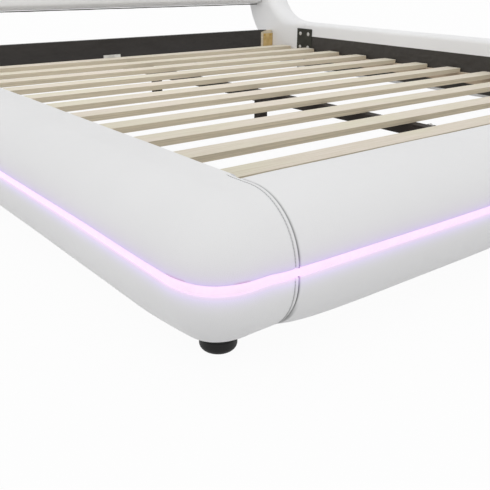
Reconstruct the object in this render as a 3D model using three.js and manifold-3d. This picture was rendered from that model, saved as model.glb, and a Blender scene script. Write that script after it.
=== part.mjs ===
// Low upholstered floor bed: padded side and foot rails with a light strip round the outside, a slatted
// deck on a centre beam, swept head posts and a leaning padded headboard.
// Millimetres, +Z up, X across the width, Y from the foot to the head.
import * as THREE from "three";
import { mergeVertices } from "three/addons/utils/BufferGeometryUtils.js";
import Module from "manifold-3d";

const wasm = await Module();
wasm.setup();

// Driving dimensions
const mattressWidth = 1800;
const mattressLength = 2000;
const mattressSideClearance = 5;
const mattressEndClearance = 35;
const footHeight = 28;
const railHeight = 210;
const sideRailThickness = 149;
const footRailThickness = 138;
const slatTopHeight = 128;
const postTopHeight = 848;
const seatGap = 0.3;
const cutOverrun = 5;

const wellWidth = mattressWidth + 2 * mattressSideClearance;
const wellLength = mattressLength + 2 * mattressEndClearance;
const wellHalf = wellWidth / 2;
const railBottom = footHeight;
const railTop = railBottom + railHeight;

// Padded rail section: a flat inner face, a flat top and one large roll outwards
const rollReach = 88;
const upperRollHeight = 87;
const lowerRollHeight = 107;
const footLowerRoll = 100;
const cornerSideLowerRoll = 97;
const cornerLowerRoll = 86;
const cornerHeel = 15.5;
const flatReach = 20;
const cornerTaperStart = 60;
const cornerTaperShares = [0, 0.35, 0.65, 0.85, 1];
const seamTaperLength = 46;
const seamTaperPlaces = [15, 35, 65, 110, 180];
const topInnerFillet = 30;
const bottomInnerFillet = 8;
const rollSteps = 8;
const filletSteps = 5;
const cornerSteps = 12;

// Boards inside the rails and the black cloth over their inner faces
const boardThickness = 18;
const liningThickness = 1.5;
const liningBottomHeight = 39;
const liningTopHeight = 180;
const seamInset = 14;
const railJointSetback = 233;

// Light strip in its groove along the outside of the rails
const stripMiddle = 149;
const stripHeight = 13;
const stripDepth = 9;
const stripProud = 1;

// Slats, in two sets of six
const slatWidth = 62;
const slatThickness = 15;
const slatEndGap = 12;
const slatCornerRadius = 5;
const slatsPerSet = 6;
const slatSetPitch = 156.5;
const firstSlatPlace = 111;
const lastSlatSetback = 94.5;
const slatCornerSteps = 3;

// Ledger strips that carry the slat ends
const ledgerWidth = 25;
const ledgerHeight = 35;
const ledgerStart = 90;
const ledgerEndGap = 6;

// Centre beam, its hangers and its legs
const beamWidth = 30;
const beamHeight = 30;
const hangerWidth = 80;
const hangerSheet = 3;
const hangerPocketDepth = 38;
const hangerCheekHeight = 34;
const footLegPlace = 407;
const headLegSetback = 365;
const legNames = ["foot", "middle", "head"];
const legTubeWidth = 30;
const legTubeWall = 2;
const legSaddleLength = 44;
const legSheet = 3;
const legCheekHeight = 28;
const legEarReach = 26;
const legEarLength = 30;
const glideHeight = 8;
const glideFlange = 4;
const glidePlugHeight = 16;

// Head cross rail with its cloth sleeve and end plates
const headRailThickness = 22;
const headRailTop = 193;
const headRailBottom = 78;
const headRailEndGap = 4;
const headRailBareEnd = 72;
const sleeveThickness = 1.5;
const endPlateWidth = 50;
const endPlateHeight = 76;
const endPlateTopMargin = 17;
const endPlateSheet = 2.5;
const endPlateSideMargin = 5;

// Joint plates on the inner faces at the head and angles at the foot
const jointPlateLength = 100;
const jointPlateRailShare = 0.54;
const jointPlateTop = 212;
const jointPlateSheet = 3;
const angleLeg = 80;
const angleHeight = 60;
const angleSheet = 3;
const angleClearance = 3;

// Head posts: front and back edges of the side view, measured from the head cross rail's front face and from
// the floor
const postSweepEndReach = 58;
const postSweepEndHeight = 406;
const postSweepStartPull = 160;
const postSweepEndPull = 135;
const postFrontLean = THREE.MathUtils.degToRad(68);
const postHeelSetback = 130;
const postHeelPull = 150;
const postBackReach = 169.8;
const postBackHeight = 252;
const postBackPull = 44;
const postBackLean = THREE.MathUtils.degToRad(66);
const postTopLean = THREE.MathUtils.degToRad(75);
const postTopReach = 252;
const postTopHalfDepth = 62;
const postTopThickness = 120;
const postFrontPull = 130;
const postRearPull = 150;
const postLowerSteps = 9;
const postUpperSteps = 7;
const postCapAngles = [24, 46, 64, 78];
const postBoardLength = 150;

// Headboard between the posts
const headboardBottomReach = 70;
const headboardBottomHeight = 326;
const headboardTopReach = 202;
const headboardTopHeight = 778;
const headboardPadThickness = 62;
const headboardBoardThickness = 15;
const headboardBoardInset = 12;
const headboardPadRadius = 30;
const headboardPadCrown = 9;
const headboardPadGap = 1;
const headboardPadSteps = 8;
const headboardCornerSteps = 5;

// Round feet
const footDiameter = 52.5;
const footEdgeRadius = 10;
const footSides = 28;
const footEdgeSteps = 5;
const footRise = 10.5;
const sideFootInset = 44;
const cornerFootReach = 13;
const postFootInset = 53;
const frontFootReach = 62;

// Light controller under the slats
const controllerLength = 92;
const controllerHeight = 30;
const controllerDepth = 22;
const controllerSetback = 55;
const controllerBottomMargin = 4;
const controllerCornerRadius = 4;
const inletRadius = 4;
const inletDepth = 9;
const inletSides = 16;

// Places along the bed that follow from its length
const railJointPlace = wellLength - railJointSetback;
const slatPitches = 2 * (slatsPerSet - 1);
const slatPitch = (wellLength - firstSlatPlace - slatWidth - lastSlatSetback - slatSetPitch) / slatPitches;
const headLegPlace = wellLength - headLegSetback;
const legPlaces = [footLegPlace, (footLegPlace + headLegPlace) / 2, headLegPlace];
const sideFootPlace = wellHalf + sideFootInset;
const middleFootPlace = wellLength / 2;
const postFootPlace = railJointPlace + postFootInset;

// Colours and finishes
const whiteLeather = { color: 0xe4e4e4, roughness: 0.45, metalness: 0 };
const lightStrip = { color: 0xfbe6ff, roughness: 0.4, metalness: 0, emissive: 0xfbe6ff };
const paleWood = { color: 0xdccfc4, roughness: 0.65, metalness: 0 };
const plywood = { color: 0xc8aa7d, roughness: 0.7, metalness: 0 };
const blackCloth = { color: 0x322f2a, roughness: 0.95, metalness: 0 };
const blackSteel = { color: 0x26241f, roughness: 0.5, metalness: 0.4 };
const zincSteel = { color: 0xb99b50, roughness: 0.4, metalness: 0.8 };
const brightSteel = { color: 0xb8b8b4, roughness: 0.35, metalness: 0.9 };
const blackPlastic = { color: 0x1f1f1f, roughness: 0.55, metalness: 0 };

const bed = new THREE.Group();

// Solids and geometries

function solidOf(geometry) {
  const plain = geometry.index ? geometry.toNonIndexed() : geometry.clone();
  plain.deleteAttribute("normal");
  plain.deleteAttribute("uv");
  const merged = mergeVertices(plain, 1e-4);
  const vertProperties = new Float32Array(merged.attributes.position.array);
  const triVerts = new Uint32Array(merged.index.array);
  return new wasm.Manifold(new wasm.Mesh({ numProp: 3, vertProperties, triVerts }));
}

function geometryOf(solid) {
  const mesh = solid.getMesh();
  const geometry = new THREE.BufferGeometry();
  geometry.setAttribute("position", new THREE.BufferAttribute(mesh.vertProperties, mesh.numProp));
  geometry.setIndex(new THREE.BufferAttribute(mesh.triVerts, 1));
  return geometry;
}

function block(low, high) {
  const geometry = new THREE.BoxGeometry(high[0] - low[0], high[1] - low[1], high[2] - low[2]);
  geometry.translate((low[0] + high[0]) / 2, (low[1] + high[1]) / 2, (low[2] + high[2]) / 2);
  return geometry;
}

function shell(places, faces) {
  const geometry = new THREE.BufferGeometry();
  geometry.setAttribute("position", new THREE.Float32BufferAttribute(places, 3));
  geometry.setIndex(faces);
  return geometry;
}

function joined(...geometries) {
  return geometryOf(geometries.map(solidOf).reduce((whole, next) => whole.add(next)));
}

function cut(geometry, ...cutters) {
  return geometryOf(cutters.map(solidOf).reduce((rest, cutter) => rest.subtract(cutter), solidOf(geometry)));
}

function kept(geometry, zone) {
  return geometryOf(solidOf(geometry).intersect(solidOf(zone)));
}

// The same piece for the left side of the bed: x changes sign and each face is turned round again.
function mirrored(geometry) {
  const twin = geometry.index ? geometry.toNonIndexed() : geometry.clone();
  const places = twin.attributes.position;
  for (let corner = 0; corner < places.count; corner += 3) {
    const a = new THREE.Vector3().fromBufferAttribute(places, corner);
    const b = new THREE.Vector3().fromBufferAttribute(places, corner + 1);
    const c = new THREE.Vector3().fromBufferAttribute(places, corner + 2);
    [a, c, b].forEach((point, offset) => places.setXYZ(corner + offset, -point.x, point.y, point.z));
  }
  twin.deleteAttribute("normal");
  return twin;
}

// An outline drawn in a plane, pushed along a third axis. The three axes form a right-handed set.
function prism(outline, length, across, up, along, start) {
  const shape = new THREE.Shape(outline);
  const geometry = new THREE.ExtrudeGeometry(shape, { depth: length, bevelEnabled: false, curveSegments: 1 });
  const frame = new THREE.Matrix4().makeBasis(across, up, along).setPosition(start);
  return geometry.applyMatrix4(frame);
}

const axisX = new THREE.Vector3(1, 0, 0);
const axisY = new THREE.Vector3(0, 1, 0);
const axisZ = new THREE.Vector3(0, 0, 1);

function place(name, geometry, finish) {
  geometry.computeVertexNormals();
  const mesh = new THREE.Mesh(geometry, new THREE.MeshStandardMaterial(finish));
  mesh.name = name;
  bed.add(mesh);
}

function placePair(name, geometry, finish) {
  place(`${name}_left`, mirrored(geometry), finish);
  place(`${name}_right`, geometry, finish);
}

// Points of a quarter of a rounded curve from the end of its first reach to the end of its second.
function quarterCurve(centre, firstReach, secondReach, power, steps) {
  const points = [];
  for (let step = 0; step <= steps; step += 1) {
    const angle = (step / steps) * (Math.PI / 2);
    const first = Math.cos(angle) ** (2 / power);
    const second = Math.sin(angle) ** (2 / power);
    points.push(
      new THREE.Vector2(
        centre.x + firstReach.x * first + secondReach.x * second,
        centre.y + firstReach.y * first + secondReach.y * second,
      ),
    );
  }
  return points;
}

// Outer roll of the rail section, from its lowest point up to the flat top, as distance outwards from the
// line round which a corner turns and height above the rail's underside.
function rollOutline(lowerRoll, heel) {
  const out = new THREE.Vector2(rollReach, 0);
  const lower = quarterCurve(
    new THREE.Vector2(0, lowerRollHeight),
    new THREE.Vector2(0, -lowerRoll),
    out,
    2,
    rollSteps,
  );
  const upper = quarterCurve(
    new THREE.Vector2(0, railHeight - upperRollHeight),
    out,
    new THREE.Vector2(0, upperRollHeight),
    2,
    rollSteps,
  );
  return [new THREE.Vector2(0, heel), ...lower.slice(1), ...upper];
}

function railOutline(thickness, lowerRoll = lowerRollHeight, heel = 0) {
  const inner = rollReach - thickness;
  const bottomEdge = quarterCurve(
    new THREE.Vector2(inner + bottomInnerFillet, bottomInnerFillet),
    new THREE.Vector2(-bottomInnerFillet, 0),
    new THREE.Vector2(0, -bottomInnerFillet),
    2,
    filletSteps,
  );
  const topEdge = quarterCurve(
    new THREE.Vector2(inner + topInnerFillet, railHeight - topInnerFillet),
    new THREE.Vector2(0, topInnerFillet),
    new THREE.Vector2(-topInnerFillet, 0),
    2,
    filletSteps,
  );
  return [...bottomEdge, new THREE.Vector2(inner + flatReach, 0), ...rollOutline(lowerRoll, heel), ...topEdge];
}

// A rail section standing on a line of turning, facing along a level direction.
function standing(outline, x, y, outX, outY) {
  return outline.map((point) => new THREE.Vector3(x + outX * point.x, y + outY * point.x, railBottom + point.y));
}

function loft(rings) {
  const count = rings[0].length;
  const places = rings.flat().flatMap((point) => [point.x, point.y, point.z]);
  const faces = [];
  for (let ring = 0; ring + 1 < rings.length; ring += 1) {
    for (let side = 0; side < count; side += 1) {
      const next = (side + 1) % count;
      const a = ring * count + side;
      const b = ring * count + next;
      const c = (ring + 1) * count + next;
      const d = (ring + 1) * count + side;
      faces.push(a, c, b, a, d, c);
    }
  }
  const last = (rings.length - 1) * count;
  for (let side = 1; side + 1 < count; side += 1) {
    faces.push(0, side, side + 1, last, last + side + 1, last + side);
  }
  return shell(places, faces);
}

// The outside of a turned corner: sections that all stand on the same upright line, which is shared.
function cornerLoft(sections, x, y, directions) {
  const places = [x, y, railBottom + sections[0][0].y, x, y, railBottom + railHeight];
  const count = sections[0].length - 2;
  const faces = [];
  sections.forEach((section, ring) => {
    const inside = section.slice(1, -1);
    standing(inside, x, y, ...directions[ring]).forEach((point) => places.push(point.x, point.y, point.z));
  });
  const at = (ring, side) => 2 + ring * count + side;
  const last = sections.length - 1;
  for (let ring = 0; ring < last; ring += 1) {
    for (let side = 0; side + 1 < count; side += 1) {
      const a = at(ring, side);
      const b = at(ring, side + 1);
      const c = at(ring + 1, side + 1);
      const d = at(ring + 1, side);
      faces.push(a, c, b, a, d, c);
    }
    faces.push(0, at(ring + 1, 0), at(ring, 0));
    faces.push(at(ring, count - 1), at(ring + 1, count - 1), 1);
  }
  for (let side = 0; side + 1 < count; side += 1) {
    faces.push(0, at(0, side), at(0, side + 1));
    faces.push(0, at(last, side + 1), at(last, side));
  }
  faces.push(0, at(0, count - 1), 1);
  faces.push(0, 1, at(last, count - 1));
  return shell(places, faces);
}

// Rails

const stripLow = stripMiddle - stripHeight / 2;
const sideOuter = wellHalf + sideRailThickness;
const footOuter = -footRailThickness;
const cornerCentreX = sideOuter - rollReach;
const cornerCentreY = footOuter + rollReach;
const seamPlace = wellHalf + seamInset;
const pocketDepth = liningThickness + boardThickness + 3 * seatGap;

// Plan of a band that follows the outside of the right side rail and its corner, from the seam on the foot
// side to the joint at the head, between two depths measured inwards from the widest line of the roll.
function sideBandPlan(outerDepth, innerDepth, seamGap, jointGap) {
  const corner = new THREE.Vector2(cornerCentreX, cornerCentreY);
  const arc = (radius) =>
    quarterCurve(corner, new THREE.Vector2(0, -radius), new THREE.Vector2(radius, 0), 2, cornerSteps);
  const outer = arc(rollReach - outerDepth);
  const inner = arc(rollReach - innerDepth).reverse();
  const jointEnd = railJointPlace - jointGap;
  const seamEnd = seamPlace + seamGap;
  return [
    new THREE.Vector2(seamEnd, footOuter + outerDepth),
    ...outer,
    new THREE.Vector2(sideOuter - outerDepth, jointEnd),
    new THREE.Vector2(sideOuter - innerDepth, jointEnd),
    ...inner,
    new THREE.Vector2(seamEnd, footOuter + innerDepth),
  ];
}

function sideCover() {
  const reach = (place) => {
    const share = THREE.MathUtils.clamp((cornerTaperStart - place) / (cornerTaperStart - cornerCentreY), 0, 1);
    const lowerRoll = THREE.MathUtils.lerp(lowerRollHeight, cornerSideLowerRoll, share ** 1.5);
    return railOutline(sideRailThickness, lowerRoll, cornerHeel * share);
  };
  const taperPlaces = cornerTaperShares.map((share) =>
    share === 1 ? cornerCentreY : THREE.MathUtils.lerp(cornerTaperStart, cornerCentreY, share),
  );
  const straightPlaces = [...taperPlaces.reverse(), railJointPlace - seatGap];
  const straight = loft(straightPlaces.map((place) => standing(reach(place), cornerCentreX, place, 1, 0)));
  const returnOutline = railOutline(footRailThickness, cornerLowerRoll, cornerHeel);
  const returnPlaces = [seamPlace + seatGap, cornerCentreX];
  const returnPiece = loft(returnPlaces.map((place) => standing(returnOutline, place, cornerCentreY, 0, -1)));
  const steps = Array.from({ length: cornerSteps + 1 }, (_, step) => step / cornerSteps);
  const sections = steps.map((share) =>
    rollOutline(THREE.MathUtils.lerp(cornerLowerRoll, cornerSideLowerRoll, share), cornerHeel),
  );
  const directions = steps.map((share) => {
    if (share === 0) return [0, -1];
    if (share === 1) return [1, 0];
    return [Math.sin((share * Math.PI) / 2), -Math.cos((share * Math.PI) / 2)];
  });
  const corner = cornerLoft(sections, cornerCentreX, cornerCentreY, directions);
  const footRailRoom = block([0, footOuter - cutOverrun, 0], [seamPlace + seatGap, 0, railTop + cutOverrun]);
  const boardPocket = block(
    [wellHalf - cutOverrun, 0, liningBottomHeight],
    [wellHalf + pocketDepth, railJointPlace + cutOverrun, liningTopHeight],
  );
  const groove = prism(
    sideBandPlan(-cutOverrun, stripDepth + seatGap, -cutOverrun, -cutOverrun),
    stripHeight + 2 * seatGap,
    axisX,
    axisY,
    axisZ,
    new THREE.Vector3(0, 0, stripLow - seatGap),
  );
  return cut(joined(straight, returnPiece, corner), footRailRoom, boardPocket, groove);
}

function sideStrip() {
  const outline = sideBandPlan(-stripProud, stripDepth, 2 * seatGap, 2 * seatGap);
  return prism(outline, stripHeight, axisX, axisY, axisZ, new THREE.Vector3(0, 0, stripLow));
}

function sideBoard() {
  const inner = wellHalf + liningThickness + seatGap;
  return block(
    [inner, seatGap, liningBottomHeight + seatGap],
    [inner + boardThickness, railJointPlace - seatGap, liningTopHeight - seatGap],
  );
}

function sideLining() {
  return block(
    [wellHalf, seatGap, liningBottomHeight + seatGap],
    [wellHalf + liningThickness, railJointPlace - seatGap, liningTopHeight - seatGap],
  );
}

function footCover() {
  const ends = [0, ...seamTaperPlaces];
  const places = [...ends.map((place) => place - seamPlace), ...ends.map((place) => seamPlace - place).reverse()];
  const rings = places.map((place) => {
    const inward = seamPlace - Math.abs(place);
    const drawn = (footLowerRoll - cornerLowerRoll) * Math.exp(-inward / seamTaperLength);
    const share = drawn / (footLowerRoll - cornerLowerRoll);
    const outline = railOutline(
      footRailThickness,
      footLowerRoll - drawn,
      THREE.MathUtils.lerp(lowerRollHeight - footLowerRoll, cornerHeel, share),
    );
    return standing(outline, place, cornerCentreY, 0, -1);
  });
  const body = loft(rings);
  const boardPocket = block(
    [-seamPlace - cutOverrun, -pocketDepth, liningBottomHeight],
    [seamPlace + cutOverrun, cutOverrun, liningTopHeight],
  );
  const groove = block(
    [-seamPlace - cutOverrun, footOuter - cutOverrun, stripLow - seatGap],
    [seamPlace + cutOverrun, footOuter + stripDepth + seatGap, stripLow + stripHeight + seatGap],
  );
  return cut(body, boardPocket, groove);
}

function footStrip() {
  return block(
    [-seamPlace, footOuter - stripProud, stripLow],
    [seamPlace, footOuter + stripDepth, stripLow + stripHeight],
  );
}

function footBoard() {
  const inner = -liningThickness - seatGap;
  return block(
    [-seamPlace, inner - boardThickness, liningBottomHeight + seatGap],
    [seamPlace, inner, liningTopHeight - seatGap],
  );
}

function footLining() {
  return block(
    [-wellHalf, -liningThickness, liningBottomHeight + seatGap],
    [wellHalf, 0, liningTopHeight - seatGap],
  );
}

// Slats and ledgers

const slatBottom = slatTopHeight - slatThickness;
const slatHalf = wellHalf - slatEndGap;
const supportTop = slatBottom - seatGap;

function slatPlaces() {
  const places = [];
  for (let index = 0; index < 2 * slatsPerSet; index += 1) {
    const inFirstSet = index < slatsPerSet;
    const pitches = inFirstSet ? index : index - 1;
    places.push(firstSlatPlace + pitches * slatPitch + (inFirstSet ? 0 : slatSetPitch));
  }
  return places;
}

function slat(start) {
  const reach = slatCornerRadius;
  const corner = (x, y, first, second) =>
    quarterCurve(
      new THREE.Vector2(x, y),
      new THREE.Vector2(...first),
      new THREE.Vector2(...second),
      2,
      slatCornerSteps,
    );
  const innerX = slatHalf - reach;
  const low = start + reach;
  const high = start + slatWidth - reach;
  const outline = [
    ...corner(-innerX, low, [-reach, 0], [0, -reach]),
    ...corner(innerX, low, [0, -reach], [reach, 0]),
    ...corner(innerX, high, [reach, 0], [0, reach]),
    ...corner(-innerX, high, [0, reach], [-reach, 0]),
  ];
  return prism(outline, slatThickness, axisX, axisY, axisZ, new THREE.Vector3(0, 0, slatBottom));
}

function ledger(from, to) {
  const outer = wellHalf - seatGap;
  return block([outer - ledgerWidth, from, supportTop - ledgerHeight], [outer, to, supportTop]);
}

// Centre beam

const beamBottom = supportTop - beamHeight;
const hangerTop = slatTopHeight;

function hanger(wallPlace, inward) {
  const along = (near, far) => [wallPlace + inward * near, wallPlace + inward * far].sort((a, b) => a - b);
  const cheekInner = beamWidth / 2 + seatGap;
  const cheekOuter = cheekInner + hangerSheet;
  const floorTop = beamBottom - seatGap;
  const [backLow, backHigh] = along(seatGap, seatGap + hangerSheet);
  const [pocketLow, pocketHigh] = along(seatGap, seatGap + hangerSheet + hangerPocketDepth);
  const back = block(
    [-hangerWidth / 2, backLow, floorTop - hangerSheet],
    [hangerWidth / 2, backHigh, hangerTop],
  );
  const floor = block(
    [-cheekOuter, pocketLow, floorTop - hangerSheet],
    [cheekOuter, pocketHigh, floorTop],
  );
  const cheeks = [-1, 1].map((side) => {
    const [low, high] = [side * cheekInner, side * cheekOuter].sort((a, b) => a - b);
    return block([low, pocketLow, floorTop - hangerSheet], [high, pocketHigh, floorTop + hangerCheekHeight]);
  });
  return joined(back, floor, ...cheeks);
}

function centreBeam() {
  const endGap = hangerSheet + 2 * seatGap;
  return block(
    [-beamWidth / 2, endGap, beamBottom],
    [beamWidth / 2, wellLength - endGap, supportTop],
  );
}

function beamLeg(middle) {
  const saddleTop = beamBottom - seatGap;
  const saddleBottom = saddleTop - legSheet;
  const cheekInner = beamWidth / 2 + seatGap;
  const cheekOuter = cheekInner + legSheet;
  const low = middle - legSaddleLength / 2;
  const high = middle + legSaddleLength / 2;
  const tubeHalf = legTubeWidth / 2;
  const boreHalf = tubeHalf - legTubeWall;
  const saddle = block([-cheekOuter, low, saddleBottom], [cheekOuter, high, saddleTop]);
  const cheekTop = saddleBottom + legCheekHeight;
  const cheeks = [-1, 1].map((side) => {
    const [near, far] = [side * cheekInner, side * cheekOuter].sort((a, b) => a - b);
    return block([near, low, saddleBottom], [far, high, cheekTop]);
  });
  const ear = block(
    [cheekInner, middle - legEarLength / 2, cheekTop - legSheet],
    [cheekOuter + legEarReach, middle + legEarLength / 2, cheekTop],
  );
  const tube = block(
    [-tubeHalf, middle - tubeHalf, glideHeight + seatGap],
    [tubeHalf, middle + tubeHalf, saddleTop],
  );
  const bore = block(
    [-boreHalf, middle - boreHalf, 0],
    [boreHalf, middle + boreHalf, saddleBottom - legTubeWall],
  );
  return cut(joined(saddle, ...cheeks, ear, tube), bore);
}

function legGlide(middle) {
  const flangeHalf = legTubeWidth / 2 + glideFlange;
  const plugHalf = legTubeWidth / 2 - legTubeWall - seatGap;
  const flange = block([-flangeHalf, middle - flangeHalf, 0], [flangeHalf, middle + flangeHalf, glideHeight]);
  const plug = block(
    [-plugHalf, middle - plugHalf, 0],
    [plugHalf, middle + plugHalf, glideHeight + glidePlugHeight],
  );
  return joined(flange, plug);
}

// Head cross rail

const headBoardFront = wellLength + sleeveThickness + seatGap;
const headBoardBack = wellLength + headRailThickness - sleeveThickness - seatGap;
const headRailHalf = wellHalf - headRailEndGap;

function headRailBoard() {
  const edge = sleeveThickness + seatGap;
  return block(
    [-headRailHalf, headBoardFront, headRailBottom + edge],
    [headRailHalf, headBoardBack, headRailTop - edge],
  );
}

function headRailSleeve() {
  const half = headRailHalf - headRailBareEnd;
  const back = wellLength + headRailThickness;
  const outer = block([-half, wellLength, headRailBottom], [half, back, headRailTop]);
  const hollow = block(
    [-half - cutOverrun, wellLength + sleeveThickness, headRailBottom + sleeveThickness],
    [half + cutOverrun, back - sleeveThickness, headRailTop - sleeveThickness],
  );
  return cut(outer, hollow);
}

function headEndPlate() {
  const top = headRailTop - endPlateTopMargin;
  const faceOuter = headRailHalf - endPlateSideMargin;
  const front = headBoardFront - seatGap - endPlateSheet;
  const flangeInner = headRailHalf + seatGap;
  const face = block(
    [faceOuter - endPlateWidth, front, top - endPlateHeight],
    [flangeInner + endPlateSheet, headBoardFront - seatGap, top],
  );
  const flange = block(
    [flangeInner, front, top - endPlateHeight],
    [flangeInner + endPlateSheet, headBoardBack, top],
  );
  return joined(face, flange);
}

// Joint plates and foot angles

function jointPlate() {
  const outer = wellHalf - seatGap;
  const start = railJointPlace - jointPlateLength * jointPlateRailShare;
  return block(
    [outer - jointPlateSheet, start, slatBottom + 2 * seatGap],
    [outer, start + jointPlateLength, jointPlateTop],
  );
}

function footAngle() {
  const outer = wellHalf - seatGap;
  const low = supportTop + angleClearance;
  const high = low + angleHeight;
  const sideLeg = block([outer - angleSheet, seatGap, low], [outer, seatGap + angleLeg, high]);
  const footLeg = block([outer - angleLeg, seatGap, low], [outer, seatGap + angleSheet, high]);
  return joined(sideLeg, footLeg);
}

// Head posts, lofted up the side view

function curve(start, startLean, startPull, end, endLean, endPull) {
  const leave = new THREE.Vector2(Math.cos(startLean), Math.sin(startLean)).multiplyScalar(startPull);
  const arrive = new THREE.Vector2(Math.cos(endLean), Math.sin(endLean)).multiplyScalar(endPull);
  return new THREE.CubicBezierCurve(start, start.clone().add(leave), end.clone().sub(arrive), end);
}

function postEdges() {
  const lean = new THREE.Vector2(Math.cos(postTopLean), Math.sin(postTopLean));
  const forward = new THREE.Vector2(-lean.y, lean.x);
  const crest = new THREE.Vector2(wellLength + postTopReach, postTopHeight - postTopHalfDepth * lean.y);
  const frontTop = crest.clone().addScaledVector(forward, postTopHalfDepth);
  const backTop = crest.clone().addScaledVector(forward, -postTopHalfDepth);
  const jointTop = new THREE.Vector2(railJointPlace + seatGap, railTop);
  const jointBottom = new THREE.Vector2(railJointPlace + seatGap, railBottom);
  const heel = new THREE.Vector2(wellLength - postHeelSetback, railBottom);
  const sweepEnd = new THREE.Vector2(wellLength + postSweepEndReach, postSweepEndHeight);
  const backTurn = new THREE.Vector2(wellLength + postBackReach, postBackHeight);
  const sweep = curve(jointTop, 0, postSweepStartPull, sweepEnd, postFrontLean, postSweepEndPull);
  const under = curve(heel, 0, postHeelPull, backTurn, postBackLean, postBackPull);
  const front = curve(sweepEnd, postFrontLean, postFrontPull, frontTop, postTopLean, postFrontPull);
  const rear = curve(backTurn, postBackLean, postRearPull, backTop, postTopLean, postRearPull);
  const edges = [{ front: jointTop, back: jointBottom, rise: 0 }];
  for (let step = 1; step <= postLowerSteps; step += 1) {
    const share = step / postLowerSteps;
    edges.push({ front: sweep.getPoint(share), back: under.getPoint(share), rise: 0 });
  }
  for (let step = 1; step <= postUpperSteps; step += 1) {
    const share = step / postUpperSteps;
    edges.push({ front: front.getPoint(share), back: rear.getPoint(share), rise: share });
  }
  for (const degrees of postCapAngles) {
    const angle = THREE.MathUtils.degToRad(degrees);
    const top = crest.clone().addScaledVector(lean, postTopHalfDepth * Math.sin(angle));
    const half = postTopHalfDepth * Math.cos(angle);
    edges.push({
      front: top.clone().addScaledVector(forward, half),
      back: top.clone().addScaledVector(forward, -half),
      rise: 1,
      closing: Math.sqrt(Math.cos(angle)),
    });
  }
  return edges;
}

function postCover() {
  const outline = railOutline(sideRailThickness);
  const inner = rollReach - sideRailThickness;
  const rings = postEdges().map(({ front, back, rise, closing = 1 }) => {
    const thickness = THREE.MathUtils.lerp(sideRailThickness, postTopThickness, rise);
    return outline.map((point) => {
      const share = point.y / railHeight;
      const out = ((point.x - inner) / sideRailThickness) * thickness * closing;
      return new THREE.Vector3(
        wellHalf + out,
        THREE.MathUtils.lerp(back.x, front.x, share),
        THREE.MathUtils.lerp(back.y, front.y, share),
      );
    });
  });
  const slot = block(
    [wellHalf + liningThickness, railJointPlace - cutOverrun, liningBottomHeight],
    [wellHalf + pocketDepth, railJointPlace + postBoardLength + seatGap, liningTopHeight],
  );
  return cut(loft(rings), slot);
}

function postBoard() {
  const inner = wellHalf + liningThickness + seatGap;
  return block(
    [inner, railJointPlace + seatGap, liningBottomHeight + seatGap],
    [inner + boardThickness, railJointPlace + postBoardLength, liningTopHeight - seatGap],
  );
}

// Headboard

const headboardLow = new THREE.Vector2(wellLength + headboardBottomReach, headboardBottomHeight);
const headboardHigh = new THREE.Vector2(wellLength + headboardTopReach, headboardTopHeight);
const headboardRun = headboardLow.distanceTo(headboardHigh);
const headboardUp = headboardHigh.clone().sub(headboardLow).normalize();
const headboardHalf = wellHalf - seatGap;

// A piece of the headboard: an outline of depth behind the front line against run up it, across the bed.
function headboardPiece(outline) {
  const up = new THREE.Vector3(0, headboardUp.x, headboardUp.y);
  const back = new THREE.Vector3(0, headboardUp.y, -headboardUp.x);
  const start = new THREE.Vector3(-headboardHalf, headboardLow.x, headboardLow.y);
  return prism(outline, 2 * headboardHalf, back, up, axisX, start);
}

function headboardPad(from, to) {
  const reach = headboardPadRadius;
  const back = headboardPadThickness;
  const crown = [];
  for (let step = 1; step < headboardPadSteps; step += 1) {
    const share = step / headboardPadSteps;
    const bulge = headboardPadCrown * Math.sin(Math.PI * share);
    crown.push(new THREE.Vector2(-bulge, THREE.MathUtils.lerp(to - reach, from + reach, share)));
  }
  const lower = quarterCurve(
    new THREE.Vector2(reach, from + reach),
    new THREE.Vector2(-reach, 0),
    new THREE.Vector2(0, -reach),
    2,
    headboardCornerSteps,
  );
  const upper = quarterCurve(
    new THREE.Vector2(reach, to - reach),
    new THREE.Vector2(0, reach),
    new THREE.Vector2(-reach, 0),
    2,
    headboardCornerSteps,
  );
  return headboardPiece([
    ...lower,
    new THREE.Vector2(back, from),
    new THREE.Vector2(back, to),
    ...upper,
    ...crown,
  ]);
}

function headboardBack() {
  const front = headboardPadThickness + seatGap;
  return headboardPiece([
    new THREE.Vector2(front, headboardBoardInset),
    new THREE.Vector2(front + headboardBoardThickness, headboardBoardInset),
    new THREE.Vector2(front + headboardBoardThickness, headboardRun - headboardBoardInset),
    new THREE.Vector2(front, headboardRun - headboardBoardInset),
  ]);
}

// Feet and controller

// A round foot whose top follows the underside of the cover that it carries.
function roundFoot(x, y, cover) {
  const radius = footDiameter / 2;
  const edge = quarterCurve(
    new THREE.Vector2(radius - footEdgeRadius, footEdgeRadius),
    new THREE.Vector2(0, -footEdgeRadius),
    new THREE.Vector2(footEdgeRadius, 0),
    2,
    footEdgeSteps,
  );
  const top = railBottom + footRise;
  const profile = [new THREE.Vector2(0, 0), ...edge, new THREE.Vector2(radius, top), new THREE.Vector2(0, top)];
  const geometry = new THREE.LatheGeometry(profile, footSides);
  geometry.rotateX(Math.PI / 2);
  geometry.translate(x, y, 0);
  return cut(geometry, cover.clone().translate(0, 0, -seatGap));
}

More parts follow.
